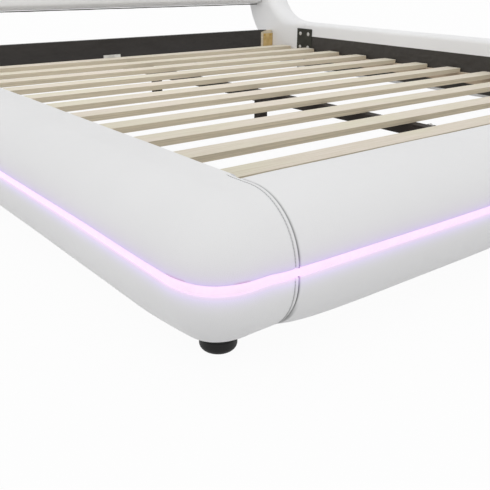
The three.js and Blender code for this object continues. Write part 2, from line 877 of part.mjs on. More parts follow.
function controller() {
  const outer = -wellHalf + seatGap;
  const low = liningBottomHeight + controllerBottomMargin;
  const reach = controllerCornerRadius;
  const corner = (x, y, first, second) =>
    quarterCurve(new THREE.Vector2(x, y), new THREE.Vector2(...first), new THREE.Vector2(...second), 2, 3);
  const outline = [
    new THREE.Vector2(0, 0),
    ...corner(controllerDepth - reach, reach, [0, -reach], [reach, 0]),
    ...corner(controllerDepth - reach, controllerHeight - reach, [reach, 0], [0, reach]),
    new THREE.Vector2(0, controllerHeight),
  ];
  const end = railJointPlace - controllerSetback;
  const body = prism(
    outline,
    controllerLength,
    axisX,
    axisZ,
    axisY.clone().negate(),
    new THREE.Vector3(outer, end, low),
  );
  const inlet = new THREE.CylinderGeometry(inletRadius, inletRadius, inletDepth + cutOverrun, inletSides);
  inlet.translate(
    outer + controllerDepth / 2,
    end - inletDepth + (inletDepth + cutOverrun) / 2,
    low + controllerHeight / 2,
  );
  return cut(body, inlet);
}

// Assembly

const rightSideCover = sideCover();
const middleFootCover = footCover();
const rightPostCover = postCover();
placePair("side_cover", rightSideCover, whiteLeather);
placePair("side_board", sideBoard(), plywood);
placePair("side_lining", sideLining(), blackCloth);
placePair("light_strip", sideStrip(), lightStrip);
place("foot_cover", middleFootCover, whiteLeather);
place("foot_board", footBoard(), plywood);
place("foot_lining", footLining(), blackCloth);
place("light_strip_foot", footStrip(), lightStrip);

slatPlaces().forEach((start, index) => {
  place(`slat_${String(index + 1).padStart(2, "0")}`, slat(start), paleWood);
});
placePair("side_ledger", ledger(ledgerStart, railJointPlace - seatGap), paleWood);
placePair("post_ledger", ledger(railJointPlace + seatGap, wellLength - ledgerEndGap), paleWood);

place("centre_beam", centreBeam(), blackSteel);
place("beam_hanger_foot", hanger(0, 1), brightSteel);
place("beam_hanger_head", hanger(wellLength, -1), brightSteel);
legPlaces.forEach((middle, index) => {
  place(`beam_leg_${legNames[index]}`, beamLeg(middle), blackSteel);
  place(`leg_glide_${legNames[index]}`, legGlide(middle), blackPlastic);
});

place("head_rail_board", headRailBoard(), paleWood);
place("head_rail_sleeve", headRailSleeve(), blackCloth);
placePair("head_end_plate", headEndPlate(), zincSteel);
placePair("joint_plate", jointPlate(), blackSteel);
placePair("foot_angle", footAngle(), blackSteel);

placePair("post_cover", rightPostCover, whiteLeather);
placePair("post_board", postBoard(), plywood);
const padSplit = headboardRun / 2;
place("headboard_lower_pad", headboardPad(0, padSplit - headboardPadGap / 2), whiteLeather);
place("headboard_upper_pad", headboardPad(padSplit + headboardPadGap / 2, headboardRun), whiteLeather);
place("headboard_back", headboardBack(), blackCloth);

placePair("corner_foot", roundFoot(sideFootPlace, -cornerFootReach, rightSideCover), blackPlastic);
placePair("middle_foot", roundFoot(sideFootPlace, middleFootPlace, rightSideCover), blackPlastic);
placePair("post_foot", roundFoot(sideFootPlace, postFootPlace, rightPostCover), blackPlastic);
place("front_foot", roundFoot(0, -frontFootReach, middleFootCover), blackPlastic);
place("light_controller", controller(), blackPlastic);

// The origin is the middle of the bed's box, on the floor.
const span = new THREE.Box3().setFromObject(bed);
bed.position.y = -(span.min.y + span.max.y) / 2;

export default bed;
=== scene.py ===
"""The floor bed dressed for pictures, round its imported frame.

Lengths in the classes are millimetres: x from the bed's middle, y from the inner face of the foot lining
towards the head, z from the floor. A piece turns them into the frame's metres when its mesh is made.
"""

import logging
import math
from dataclasses import dataclass
from enum import Enum
from functools import partial
from typing import Callable, Iterable, Sequence

import bmesh
import bpy
import numpy as np
from mathutils import Matrix, Vector


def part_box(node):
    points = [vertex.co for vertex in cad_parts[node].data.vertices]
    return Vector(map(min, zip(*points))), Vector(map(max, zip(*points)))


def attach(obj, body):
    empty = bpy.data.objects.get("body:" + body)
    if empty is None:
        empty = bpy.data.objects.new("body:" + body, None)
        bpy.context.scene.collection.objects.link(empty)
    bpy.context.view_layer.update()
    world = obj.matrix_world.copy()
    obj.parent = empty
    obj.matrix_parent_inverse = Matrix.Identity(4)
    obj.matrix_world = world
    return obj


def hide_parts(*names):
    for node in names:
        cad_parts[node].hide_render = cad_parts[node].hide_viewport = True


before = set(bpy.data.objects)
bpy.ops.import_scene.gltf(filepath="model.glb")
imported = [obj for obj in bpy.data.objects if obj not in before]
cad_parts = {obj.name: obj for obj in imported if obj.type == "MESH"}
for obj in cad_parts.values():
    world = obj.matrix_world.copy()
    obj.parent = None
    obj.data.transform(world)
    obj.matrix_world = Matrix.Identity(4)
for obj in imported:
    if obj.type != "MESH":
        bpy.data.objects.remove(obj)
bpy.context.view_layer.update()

log = logging.getLogger("floor_bed")

METRE = 0.001
ORIGIN = np.array([0.0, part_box("foot_lining")[1].y, 0.0])
BODY = "root"
WELD = 0.002
QUARTER = math.pi / 2
WHITE = (1.0, 1.0, 1.0, 1.0)
Pair = tuple[float, float]
Rgb = tuple[float, float, float]
Place = Sequence[float]
Node = bpy.types.Node
Object = bpy.types.Object
Socket = bpy.types.NodeSocket


class Side(Enum):
    """The two long sides of the bed and the sign of x on each."""

    LEFT = -1
    RIGHT = 1

    @property
    def label(self) -> str:
        """The side's name as the frame's nodes write it."""
        return self.name.lower()


# Node trees and finishes


class NodeSheet:
    """The node tree of a material or the world, filled by short calls."""

    def __init__(self, owner: bpy.types.Material | bpy.types.World) -> None:
        """Empties the tree of its owner.

        Args:
            owner: the material or the world.
        """
        owner.use_nodes = True
        self.tree = owner.node_tree
        self.tree.nodes.clear()

    def node(self, kind: str, inputs: dict, **settings: object) -> Node:
        """Adds a node.

        Args:
            kind: the node's Blender type, without its first part.
            inputs: constants or sockets for its inputs, by name or number.
            settings: attributes of the node.

        Returns:
            The node.
        """
        made = self.tree.nodes.new(f"ShaderNode{kind}")
        for name, value in settings.items():
            setattr(made, name, value)
        for key, value in inputs.items():
            if isinstance(value, Socket):
                self.tree.links.new(value, made.inputs[key])
            else:
                made.inputs[key].default_value = value
        return made

    def place(self, stretch: Place = (1.0, 1.0, 1.0)) -> Socket:
        """Object coordinates in metres, with factors along x, y and z."""
        where = self.node("TexCoord", {}).outputs["Object"]
        return self.node("Mapping", {"Vector": where, "Scale": tuple(stretch)}).outputs["Vector"]

    def noise(self, scale: float, detail: float = 4.0, stretch: Place = (1.0, 1.0, 1.0)) -> Socket:
        """A noise texture's factor, from repeats a metre, octaves and factors along the axes."""
        values = {"Vector": self.place(stretch), "Scale": scale, "Detail": detail}
        return self.node("TexNoise", values).outputs[0]

    def cells(self, scale: float, randomness: float, feature: str = "F1") -> Socket:
        """A cell texture's distance, from repeats a metre, disorder and what is measured."""
        values = {"Vector": self.place(), "Scale": scale, "Randomness": randomness}
        return self.node("TexVoronoi", values, feature=feature).outputs["Distance"]

    def span(
        self, value: Socket, low: float = 0.0, high: float = 1.0, start: float = 0.3, end: float = 0.7
    ) -> Socket:
        """Stretches a factor, so that it is low at the start and high at the end."""
        values = {"Value": value, "From Min": start, "From Max": end, "To Min": low, "To Max": high}
        return self.node("MapRange", values).outputs["Result"]

    def blend(self, share: Socket, first: Socket | Rgb, second: Socket | Rgb) -> Socket:
        """Mixes two colours by the share of the second."""
        first, second = (colour if isinstance(colour, Socket) else (*colour, 1.0) for colour in (first, second))
        return self.node("Mix", {0: share, 6: first, 7: second}, data_type="RGBA").outputs[2]

    def calc(self, operation: str, first: Socket, second: Socket | float = 0.0) -> Socket:
        """The result of a sum on two values."""
        return self.node("Math", {0: first, 1: second}, operation=operation).outputs[0]

    def bump(self, height: Socket, depth: float, strength: float, under: Socket | None = None) -> Socket:
        """A bump from a height.

        Args:
            height: the height socket.
            depth: depth in metres.
            strength: how much of it shows.
            under: the normal socket of a coarser bump.

        Returns:
            The normal socket.
        """
        values = {"Height": height, "Distance": depth, "Strength": strength}
        if under is not None:
            values["Normal"] = under
        return self.node("Bump", values).outputs["Normal"]


def shaded(colour: Place, factor: float) -> tuple[float, ...]:
    """Every part of a colour times a factor."""
    return tuple(part * factor for part in colour)


@dataclass(frozen=True)
class Finish:
    """A surface made of nodes, on the principled shader unless a finish has a shader of its own."""

    name: str
    colour: Rgb

    def inputs(self, sheet: NodeSheet) -> dict[str, object]:
        """Inputs of the principled shader."""
        raise NotImplementedError

    def shader(self, sheet: NodeSheet) -> Node:
        """The last shader node."""
        return sheet.node("BsdfPrincipled", self.inputs(sheet))

    def material(self) -> bpy.types.Material:
        """Builds the material.

        Returns:
            The material.
        """
        made = bpy.data.materials.new(self.name)
        sheet = NodeSheet(made)
        sheet.node("OutputMaterial", {"Surface": self.shader(sheet).outputs[0]})
        return made


@dataclass(frozen=True)
class Leather(Finish):
    """Soft upholstery leather with a fine pebble grain, with the strip's light painted on as emission and painted
    shade in its seams.

    The pieces carry two colours a point: strip_light, the strip's light painted on the leather, and the painted shade,
    how much of its colour the leather loses to shade in seams, along stitches and over the strip.
    """

    roughness: float

    def inputs(self, sheet: NodeSheet) -> dict[str, object]:
        """Inputs of the principled shader.

        Args:
            sheet: the material's nodes.

        Returns:
            The inputs by name.
        """
        colour = sheet.blend(sheet.span(sheet.noise(2.6, 3.0)), shaded(self.colour, 0.975), shaded(self.colour, 1.02))
        creases = sheet.span(sheet.cells(620.0, 0.9, "DISTANCE_TO_EDGE"), start=0.0, end=0.16)
        # painted shade: the colour darkens slightly in the creases of the grain
        colour = sheet.blend(sheet.span(creases, 0.06, 0.0, 0.0, 1.0), colour, shaded(self.colour, 0.8))
        # the strip's painted light, shown as emission, and the painted shade of seams, stitches and the groove over
        # the strip, taken off the colour
        layers = ("strip_light", "painted_shade")
        light, painted_dark = (sheet.node("Attribute", {}, attribute_name=name).outputs["Color"] for name in layers)
        kept = sheet.node("VectorMath", {0: (1.0, 1.0, 1.0), 1: painted_dark}, operation="SUBTRACT").outputs[0]
        grain = sheet.bump(creases, 0.00035, 0.32, sheet.bump(sheet.noise(14.0, 2.0), 0.004, 0.06))
        return {
            "Base Color": sheet.node("VectorMath", {0: colour, 1: kept}, operation="MULTIPLY").outputs[0],
            "Roughness": sheet.span(sheet.noise(45.0), self.roughness - 0.04, self.roughness + 0.05),
            "Specular IOR Level": 0.4,
            "Emission Color": light,
            "Emission Strength": 1.0,
            "Normal": sheet.bump(sheet.noise(1900.0, 2.0), 0.00012, 0.25, grain),
        }


@dataclass(frozen=True)
class Thread(Finish):
    """Twisted sewing thread."""

    def inputs(self, sheet: NodeSheet) -> dict[str, object]:
        """Inputs of the principled shader.

        Args:
            sheet: the material's nodes.

        Returns:
            The inputs by name.
        """
        values = {"Vector": sheet.place(), "Scale": 900.0, "Distortion": 2.0}
        twist = sheet.node("TexWave", values, bands_direction="DIAGONAL").outputs["Fac"]
        colour = sheet.blend(twist, shaded(self.colour, 0.7), self.colour)
        return {"Base Color": colour, "Roughness": 0.7, "Normal": sheet.bump(twist, 0.0002, 0.5)}


@dataclass(frozen=True)
class Cloth(Finish):
    """Black non-woven lining cloth, pressed in a fine diamond pattern."""

    def inputs(self, sheet: NodeSheet) -> dict[str, object]:
        """Inputs of the principled shader.

        Args:
            sheet: the material's nodes.

        Returns:
            The inputs by name.
        """
        fibres = sheet.noise(650.0, 6.0)
        colour = sheet.blend(sheet.span(sheet.noise(9.0)), shaded(self.colour, 0.8), self.colour)
        wrinkles = sheet.bump(sheet.noise(1.0, 3.0, (3.0, 5.0, 9.0)), 0.035, 0.8)
        pimples = sheet.bump(sheet.span(sheet.cells(520.0, 0.15), start=0.1, end=0.5), 0.0002, 0.5, wrinkles)
        return {
            "Base Color": sheet.blend(sheet.span(fibres, 0.0, 0.4), colour, shaded(self.colour, 1.9)),
            "Roughness": 0.7,
            "Specular IOR Level": 0.35,
            "Sheen Weight": 0.12,
            "Normal": sheet.bump(fibres, 0.0002, 0.35, pimples),
        }


@dataclass(frozen=True)
class Wood(Finish):
    """Sawn softwood whose grain runs along x, darker and more layered on its standing faces: edge grain, and partly
    painted shade.
    """

    dark: Rgb
    edge: Rgb
    pale: Rgb
    along: Place = (1.0, 14.0, 14.0)

    def inputs(self, sheet: NodeSheet) -> dict[str, object]:
        """Inputs of the principled shader.

        Args:
            sheet: the material's nodes.

        Returns:
            The inputs by name.
        """
        wave = {"Vector": sheet.place(self.along), "Scale": 3.2, "Distortion": 7.0, "Detail": 4.0, "Detail Scale": 1.6}
        bands = sheet.node("TexWave", wave, bands_direction="Y").outputs["Fac"]
        streaks = sheet.noise(2.0, 6.0, shaded(self.along, 5.0))
        figure = sheet.calc("ADD", sheet.calc("MULTIPLY", bands, 0.35), sheet.calc("MULTIPLY", streaks, 0.65))
        patches = sheet.span(sheet.noise(1.0, 2.0, (4.0, 9.0, 1.0)), start=0.38, end=0.62)
        colour = sheet.blend(patches, self.colour, self.pale)
        colour = sheet.blend(sheet.span(figure, 0.0, 0.8, 0.35, 0.75), colour, self.dark)
        boards = sheet.span(sheet.noise(1.0, 1.0, (0.2, 6.0, 1.0)), 0.0, 0.35)
        colour = sheet.blend(boards, colour, shaded(self.colour, 1.05))
        # standing faces take the edge colour: layered edge grain, and darker also as painted shade
        facing = sheet.node("NewGeometry", {}).outputs["Normal"]
        upward = sheet.calc("ABSOLUTE", sheet.node("SeparateXYZ", {0: facing}).outputs["Z"])
        edge = sheet.blend(sheet.span(sheet.noise(1.0, 4.0, (5.0, 30.0, 420.0))), self.edge, shaded(self.edge, 0.74))
        return {
            "Base Color": sheet.blend(sheet.span(upward, 1.0, 0.0, 0.3, 0.8), colour, edge),
            "Roughness": sheet.span(streaks, 0.55, 0.72),
            "Specular IOR Level": 0.3,
            "Normal": sheet.bump(figure, 0.0006, 0.35),
        }


@dataclass(frozen=True)
class Metal(Finish):
    """Plated or painted sheet steel with worn edges."""

    worn: Rgb
    metallic: float
    roughness: float
    shine: float = 0.5

    def inputs(self, sheet: NodeSheet) -> dict[str, object]:
        """Inputs of the principled shader.

        Args:
            sheet: the material's nodes.

        Returns:
            The inputs by name.
        """
        mottled = sheet.noise(38.0, 5.0)
        colour = sheet.blend(sheet.span(mottled), shaded(self.colour, 0.82), self.colour)
        edges = sheet.span(sheet.node("NewGeometry", {}).outputs["Pointiness"], start=0.52, end=0.6)
        rubbed = sheet.calc("MULTIPLY", edges, sheet.span(mottled, 0.3, 1.0))
        return {
            "Base Color": sheet.blend(sheet.calc("MULTIPLY", rubbed, 0.6), colour, self.worn),
            "Metallic": self.metallic,
            "Specular IOR Level": self.shine,
            "Roughness": sheet.span(mottled, self.roughness - 0.07, self.roughness + 0.08),
            "Normal": sheet.bump(sheet.noise(1040.0, 2.0), 0.00008, 0.4),
        }


@dataclass(frozen=True)
class Plastic(Finish):
    """Moulded black plastic with a fine texture."""

    roughness: float

    def inputs(self, sheet: NodeSheet) -> dict[str, object]:
        """Inputs of the principled shader.

        Args:
            sheet: the material's nodes.

        Returns:
            The inputs by name.
        """
        cloudy = sheet.noise(30.0, 3.0)
        return {
            "Base Color": sheet.blend(sheet.span(cloudy), shaded(self.colour, 0.8), self.colour),
            "Specular IOR Level": 0.2,
            "Roughness": sheet.span(cloudy, self.roughness - 0.05, self.roughness + 0.07),
            "Normal": sheet.bump(sheet.noise(1400.0, 2.0), 0.0001, 0.4),
        }


@dataclass(frozen=True)
class LitSilicone(Finish):
    """Milky silicone over a row of small lamps: lit all along, a little stronger over each lamp."""

    light: Rgb
    strength: float
    lamp_pitch: float = 0.0165

    def inputs(self, sheet: NodeSheet) -> dict[str, object]:
        """Inputs of the principled shader.

        Args:
            sheet: the material's nodes.

        Returns:
            The inputs by name.
        """
        skin = sheet.noise(220.0, 2.0)
        ripple = sheet.noise(1.0 / self.lamp_pitch, 1.0)
        return {
            "Base Color": sheet.blend(sheet.span(skin), shaded(self.colour, 0.9), self.colour),
            "Roughness": 0.4,
            "Emission Color": (*self.light, 1.0),
            "Emission Strength": sheet.span(ripple, self.strength * 0.97, self.strength * 1.03),
            "Normal": sheet.bump(skin, 0.0002, 0.2),
        }


@dataclass(frozen=True)
class StudioFloor(Finish):
    """Pale floor that shows white to the camera and keeps a trace of the bed's shadow."""

    lift: float = 0.16
    glare: float = 1.02
    kept_shadow: float = 0.08

    def shader(self, sheet: NodeSheet) -> Node:
        """The last shader node, which mixes the floor's own surface with plain white.

        Args:
            sheet: the material's nodes.

        Returns:
            The shader node.
        """
        grey = sheet.blend(sheet.span(sheet.noise(3.0, 2.0)), self.colour, shaded(self.colour, 1.02))
        matt = sheet.node("BsdfDiffuse", {"Color": grey, "Roughness": 0.5})
        lights = [{"Color": WHITE, "Strength": power} for power in (self.lift, self.glare)]
        faint, white = (sheet.node("Emission", values) for values in lights)
        matt = sheet.node("AddShader", {0: matt.outputs[0], 1: faint.outputs[0]})
        rays = sheet.node("LightPath", {}).outputs
        seen = sheet.calc("MAXIMUM", rays["Is Camera Ray"], rays["Is Glossy Ray"])
        share = sheet.calc("MULTIPLY", seen, 1.0 - self.kept_shadow)
        return sheet.node("MixShader", {0: share, 1: matt.outputs[0], 2: white.outputs[0]})


SLAT_FACE, SLAT_DARK, SLAT_PALE = (0.735, 0.665, 0.58), (0.59, 0.52, 0.40), (0.70, 0.67, 0.53)


class Look(Enum):
    """Every finish of the bed and its studio, with the record's slot where pieces of the scene take it."""

    LEATHER = Leather("white_leather_finish", (0.80, 0.80, 0.805), 0.42), "white_leather"
    THREAD = Thread("grey_thread_finish", (0.55, 0.55, 0.56)), "white_leather"
    CLOTH = Cloth("black_cloth_finish", (0.036, 0.032, 0.028)), "black_cloth"
    SLEEVE = Cloth("sleeve_cloth_finish", (0.024, 0.021, 0.019)), "black_cloth"
    SLAT = Wood("pale_slat_finish", SLAT_FACE, SLAT_DARK, (0.725, 0.635, 0.48), SLAT_PALE)
    # painted shadow: the first slat's standing faces are near black, for the shade in the gap before the foot rail
    FIRST_SLAT = Wood("first_slat_finish", SLAT_FACE, SLAT_DARK, (0.25, 0.215, 0.17), SLAT_PALE)
    LEDGER = Wood(
        "ledger_finish",
        (0.66, 0.55, 0.42),
        (0.50, 0.38, 0.26),
        (0.55, 0.43, 0.31),
        (0.68, 0.57, 0.44),
        along=(14.0, 1.0, 14.0),
    )
    PLY = Wood("plywood_finish", (0.52, 0.38, 0.22), (0.40, 0.28, 0.15), (0.46, 0.33, 0.19), (0.55, 0.42, 0.26))
    BLACK_STEEL = Metal("black_steel_finish", (0.021, 0.016, 0.013), (0.05, 0.04, 0.035), 0.0, 0.62, 0.22)
    PLATE_STEEL = Metal("plate_steel_finish", (0.020, 0.021, 0.015), (0.06, 0.06, 0.05), 0.0, 0.6, 0.25)
    BRIGHT_STEEL = Metal("bright_steel_finish", (0.62, 0.61, 0.58), (0.8, 0.8, 0.78), 0.85, 0.34), "bright_steel"
    PALE_STEEL = Metal("pale_steel_finish", (0.78, 0.76, 0.70), (0.85, 0.84, 0.8), 0.25, 0.4)
    ZINC = Metal("zinc_steel_finish", (0.58, 0.37, 0.10), (0.75, 0.62, 0.35), 0.55, 0.38), "zinc_steel"
    PLASTIC = Plastic("black_plastic_finish", (0.018, 0.018, 0.018), 0.5), "black_plastic"
    STRIP = LitSilicone("light_strip_finish", (0.30, 0.26, 0.30), (1.0, 0.775, 0.985), 0.74), "light_strip"
    FLOOR = StudioFloor("studio_floor_finish", (0.46, 0.46, 0.46))

    def __init__(self, finish: Finish, slot: str = "") -> None:
        """Keeps the finish and the slot."""
        self.finish = finish
        self.slot = slot


# Mesh work


def arc(centre: Place, reach: Place, start: float, end: float, steps: int) -> np.ndarray:
    """Points of an ellipse's arc.

    Args:
        centre: centre of the ellipse.
        reach: its two half axes.
        start: first angle in degrees.
        end: last angle in degrees.
        steps: number of spans.

    Returns:
        The points, one row each.
    """
    angles = np.radians(np.linspace(start, end, steps + 1))
    return np.stack([centre[0] + reach[0] * np.cos(angles), centre[1] + reach[1] * np.sin(angles)], axis=1)


def straight(first: Place, last: Place, steps: int) -> np.ndarray:
    """Evenly spaced points from one point to another, both kept."""
    return np.linspace(np.asarray(first, float), np.asarray(last, float), steps + 1)


def heading(degrees: float) -> np.ndarray:
    """The unit vector at an angle above level."""
    return np.array([math.cos(math.radians(degrees)), math.sin(math.radians(degrees))])


def ease(value: object, start: float, end: float) -> np.ndarray:
    """Smooth step from nought at the start to one at the end."""
    share = np.clip((np.asarray(value, float) - start) / (end - start), 0.0, 1.0)
    return share * share * (3 - 2 * share)


def fade(distance: np.ndarray, reach: object, power: object = 2) -> np.ndarray:
    """Share that is left at a distance: all of it at nought and about a third at the reach."""
    return np.exp(-((distance / reach) ** power))


def rounding(distance: np.ndarray, radius: object) -> np.ndarray:
    """How far a rounded edge drops below the face, at a distance from the edge."""
    inside = np.clip(1.0 - distance / radius, 0.0, 1.0)
    return radius * (1.0 - np.sqrt(np.clip(1.0 - inside**2, 0.0, 1.0)))


def swell(points: np.ndarray, depth: float) -> np.ndarray:
    """Slow, slight unevenness of leather over foam.

    Args:
        points: the points in millimetres.
        depth: its largest depth.

    Returns:
        The depth at each point.
    """
    x, y, z = points.T
    waves = np.sin(y / 61 + 1.3 + 0.7 * np.sin(z / 47)) + np.sin(x / 73 + 0.4 + 0.6 * np.sin(y / 113))
    waves = waves + np.sin((x + y) / 39 + z / 29) + np.sin(z / 23 + y / 171 + 2.1)
    return depth * waves / 4


class Shell:
    """Points and faces of one piece, gathered patch by patch and welded where patches meet."""

    def __init__(self) -> None:
        """Starts empty."""
        self.points = np.zeros((0, 3))
        self.faces: list[tuple[int, ...]] = []

    def grid(self, rows: Sequence[np.ndarray], closed: bool = False) -> np.ndarray:
        """Adds a grid of points.

        Args:
            rows: the points of each row.
            closed: whether the last column joins the first.

        Returns:
            The number of each point, as rows by columns.
        """
        rows = np.stack(rows)
        numbers = np.arange(rows.shape[0] * rows.shape[1]).reshape(rows.shape[:2]) + len(self.points)
        self.points = np.concatenate([self.points, rows.reshape(-1, 3)])
        here = numbers if closed else numbers[:, :-1]
        following = np.roll(numbers, -1, axis=1) if closed else numbers[:, 1:]
        corners = [here[:-1], following[:-1], following[1:], here[1:]]
        self.faces.extend(zip(*(corner.ravel().tolist() for corner in corners)))
        return numbers

    def cap(self, loop: Iterable[int]) -> None:
        """Closes a loop of points with one face."""
        self.faces.append(tuple(int(number) for number in loop))

    def tube(self, rows: Sequence[np.ndarray], depth: Callable[[np.ndarray], np.ndarray] | None = None) -> "Shell":
        """Adds rings joined to a closed tube.

        Args:
            rows: the points of each ring.
            depth: how far the points sink in before the ends are closed.

        Returns:
            The shell itself.
        """
        numbers = self.grid(rows, closed=True)
        if depth:
            self.sink(depth(self.points))
        for ring in (numbers[0], numbers[-1]):
            self.cap(ring)
        return self

    def weld(self) -> np.ndarray:
        """Joins points that lie in one place.

        Returns:
            The new number of every old point.
        """
        keys = np.round(self.points / WELD + 0.137).astype(np.int64)
        _, first, numbers = np.unique(keys, axis=0, return_index=True, return_inverse=True)
        numbers = numbers.reshape(-1)
        self.points = self.points[first]
        kept = []
        for face in self.faces:
            ring = [int(numbers[corner]) for corner in face]
            ring = [corner for place, corner in enumerate(ring) if corner != ring[place - 1]]
            if len(set(ring)) > 2:
                kept.append(tuple(ring))
        self.faces = kept
        return numbers

    def normals(self) -> np.ndarray:
        """Outward directions of the points, from the faces so far.

        Returns:
            One unit vector a point, which points up at the highest points.
        """
        corners = np.array([face if len(face) == 4 else (*face, face[-1]) for face in self.faces])
        a, b, c, d = (self.points[corners[:, place]] for place in range(4))
        facing = np.cross(c - a, d - b)
        total = np.zeros_like(self.points)
        for place in range(4):
            np.add.at(total, corners[:, place], facing)
        total /= np.maximum(np.linalg.norm(total, axis=1, keepdims=True), 1e-9)
        top = self.points[:, 2] > self.points[:, 2].max() - 1.0
        return total if total[top, 2].sum() > 0 else -total

    def sink(self, depth: np.ndarray) -> None:
        """Moves each point inwards by its depth."""
        self.points = self.points - self.normals() * depth[:, None]

    def mirrored(self, side: Side) -> "Shell":
        """The shell on a side of the bed, from the one on the right.

        Args:
            side: the side of the bed.

        Returns:
            The shell on that side.
        """
        twin = Shell()
        twin.points = self.points * np.array([side.value, 1.0, 1.0])
        twin.faces = list(self.faces)
        return twin


def turned(centre: Place, axis: Place, rings: Sequence[Pair], sides: int = 48, socket: int = 0) -> list[np.ndarray]:
    """Rings about an axis.

    Args:
        centre: the foot of the axis.
        axis: its direction.
        rings: radius and height of each ring.
        sides: points of each ring.
        socket: how many of the last rings are six-sided, for a key.

    Returns:
        The points of each ring.
    """
    axis = np.array(axis, float) / np.linalg.norm(axis)
    helper = np.array([0.0, 0.0, 1.0]) if abs(axis[2]) < 0.9 else np.array([1.0, 0.0, 0.0])
    first = np.cross(helper, axis)
    first /= np.linalg.norm(first)
    second = np.cross(axis, first)
    turns = np.linspace(0, 2 * math.pi, sides, endpoint=False)
    around = np.cos(turns)[:, None] * first + np.sin(turns)[:, None] * second
    rows = []
    for place, (radius, height) in enumerate(rings):
        reach = np.full(sides, float(radius))
        if place >= len(rings) - socket:
            reach = radius / np.cos((turns % (math.pi / 3)) - math.pi / 6)
        rows.append(np.array(centre, float) + axis * height + reach[:, None] * around)
    return rows


def shown(name: str, data: bpy.types.ID) -> Object:
    """A new object that stands in the scene.

    Args:
        name: the object's name.
        data: its mesh, camera or lamp.

    Returns:
        The object.
    """
    made = bpy.data.objects.new(name, data)
    bpy.context.scene.collection.objects.link(made)
    return made


def modify(piece: Object, name: str, kind: str, **settings: object) -> bpy.types.Modifier:
    """Adds a modifier with its settings.

    Args:
        piece: the piece.
        name: the modifier's name.
        kind: its Blender type.
        settings: attributes of the modifier.

    Returns:
        The modifier.
    """
    change = piece.modifiers.new(name, kind)
    for key, value in settings.items():
        setattr(change, key, value)
    return change


def fix_form(piece: Object) -> None:
    """Applies a piece's modifiers to its mesh.

    Args:
        piece: the piece.
    """
    bpy.context.view_layer.update()
    result = bpy.data.meshes.new_from_object(piece.evaluated_get(bpy.context.evaluated_depsgraph_get()))
    piece.modifiers.clear()
    result.name = piece.data.name
    piece.data = result


def places_of(piece: Object) -> np.ndarray:
    """Places of a piece's points in metres.

    Args:
        piece: the piece.

    Returns:
        The places, one row each.
    """
    places = np.zeros(len(piece.data.vertices) * 3)
    piece.data.vertices.foreach_get("co", places)
    return places.reshape(-1, 3)


def from_metres(places: np.ndarray) -> np.ndarray:
    """Places in the bed's millimetres, from metres in the frame."""
    return places / METRE - ORIGIN / METRE


@dataclass(frozen=True)
class Filling:
    """Padding that swells a cover by its pressure, as cloth on a mesh of its own."""

    voxel: float = 7.0
    cap: float = 7.0
    pressure: float = 4.0
    stiffness: float = 20.0
    bending: float = 1.0
    quality: int = 6
    frames: int = 20

    def inflate(self, piece: Object, held: Callable[[np.ndarray], np.ndarray]) -> None:
        """Swells a padded piece as cloth over its filling, then fixes the form that it took.

        Args:
            piece: the padded piece.
            held: share by which each point is held still.
        """
        scene = bpy.context.scene
        modify(piece, "even_mesh", "REMESH", mode="VOXEL", voxel_size=self.voxel * METRE, use_smooth_shade=True)
        fix_form(piece)
        start = places_of(piece)
        group = piece.vertex_groups.new(name="held")
        for number, share in enumerate(held(from_metres(start))):
            group.add([number], float(share), "REPLACE")
        cloth = modify(piece, "cover", "CLOTH")
        settings = cloth.settings
        settings.quality = self.quality
        settings.vertex_group_mass = "held"
        settings.use_pressure = True
        settings.uniform_pressure_force = self.pressure
        settings.tension_stiffness = settings.compression_stiffness = self.stiffness
        settings.bending_stiffness = self.bending
        settings.effector_weights.gravity = 0.0
        cloth.point_cache.frame_start, cloth.point_cache.frame_end = 1, self.frames
        for number in range(1, self.frames + 1):
            scene.frame_set(number)
        fix_form(piece)
        move = places_of(piece) - start
        length = np.linalg.norm(move, axis=1, keepdims=True)
        log.info("%s: the filling moved the cover by up to %.1f mm", piece.name, float(length.max()) / METRE)
        move *= np.minimum(1.0, self.cap * METRE / np.maximum(length, 1e-9))
        piece.data.vertices.foreach_set("co", (start + move).ravel())
        piece.data.update()
        scene.frame_set(1)
        modify(piece, "smooth_cover", "SUBSURF", levels=1)
        fix_form(piece)
        piece.data.shade_smooth()


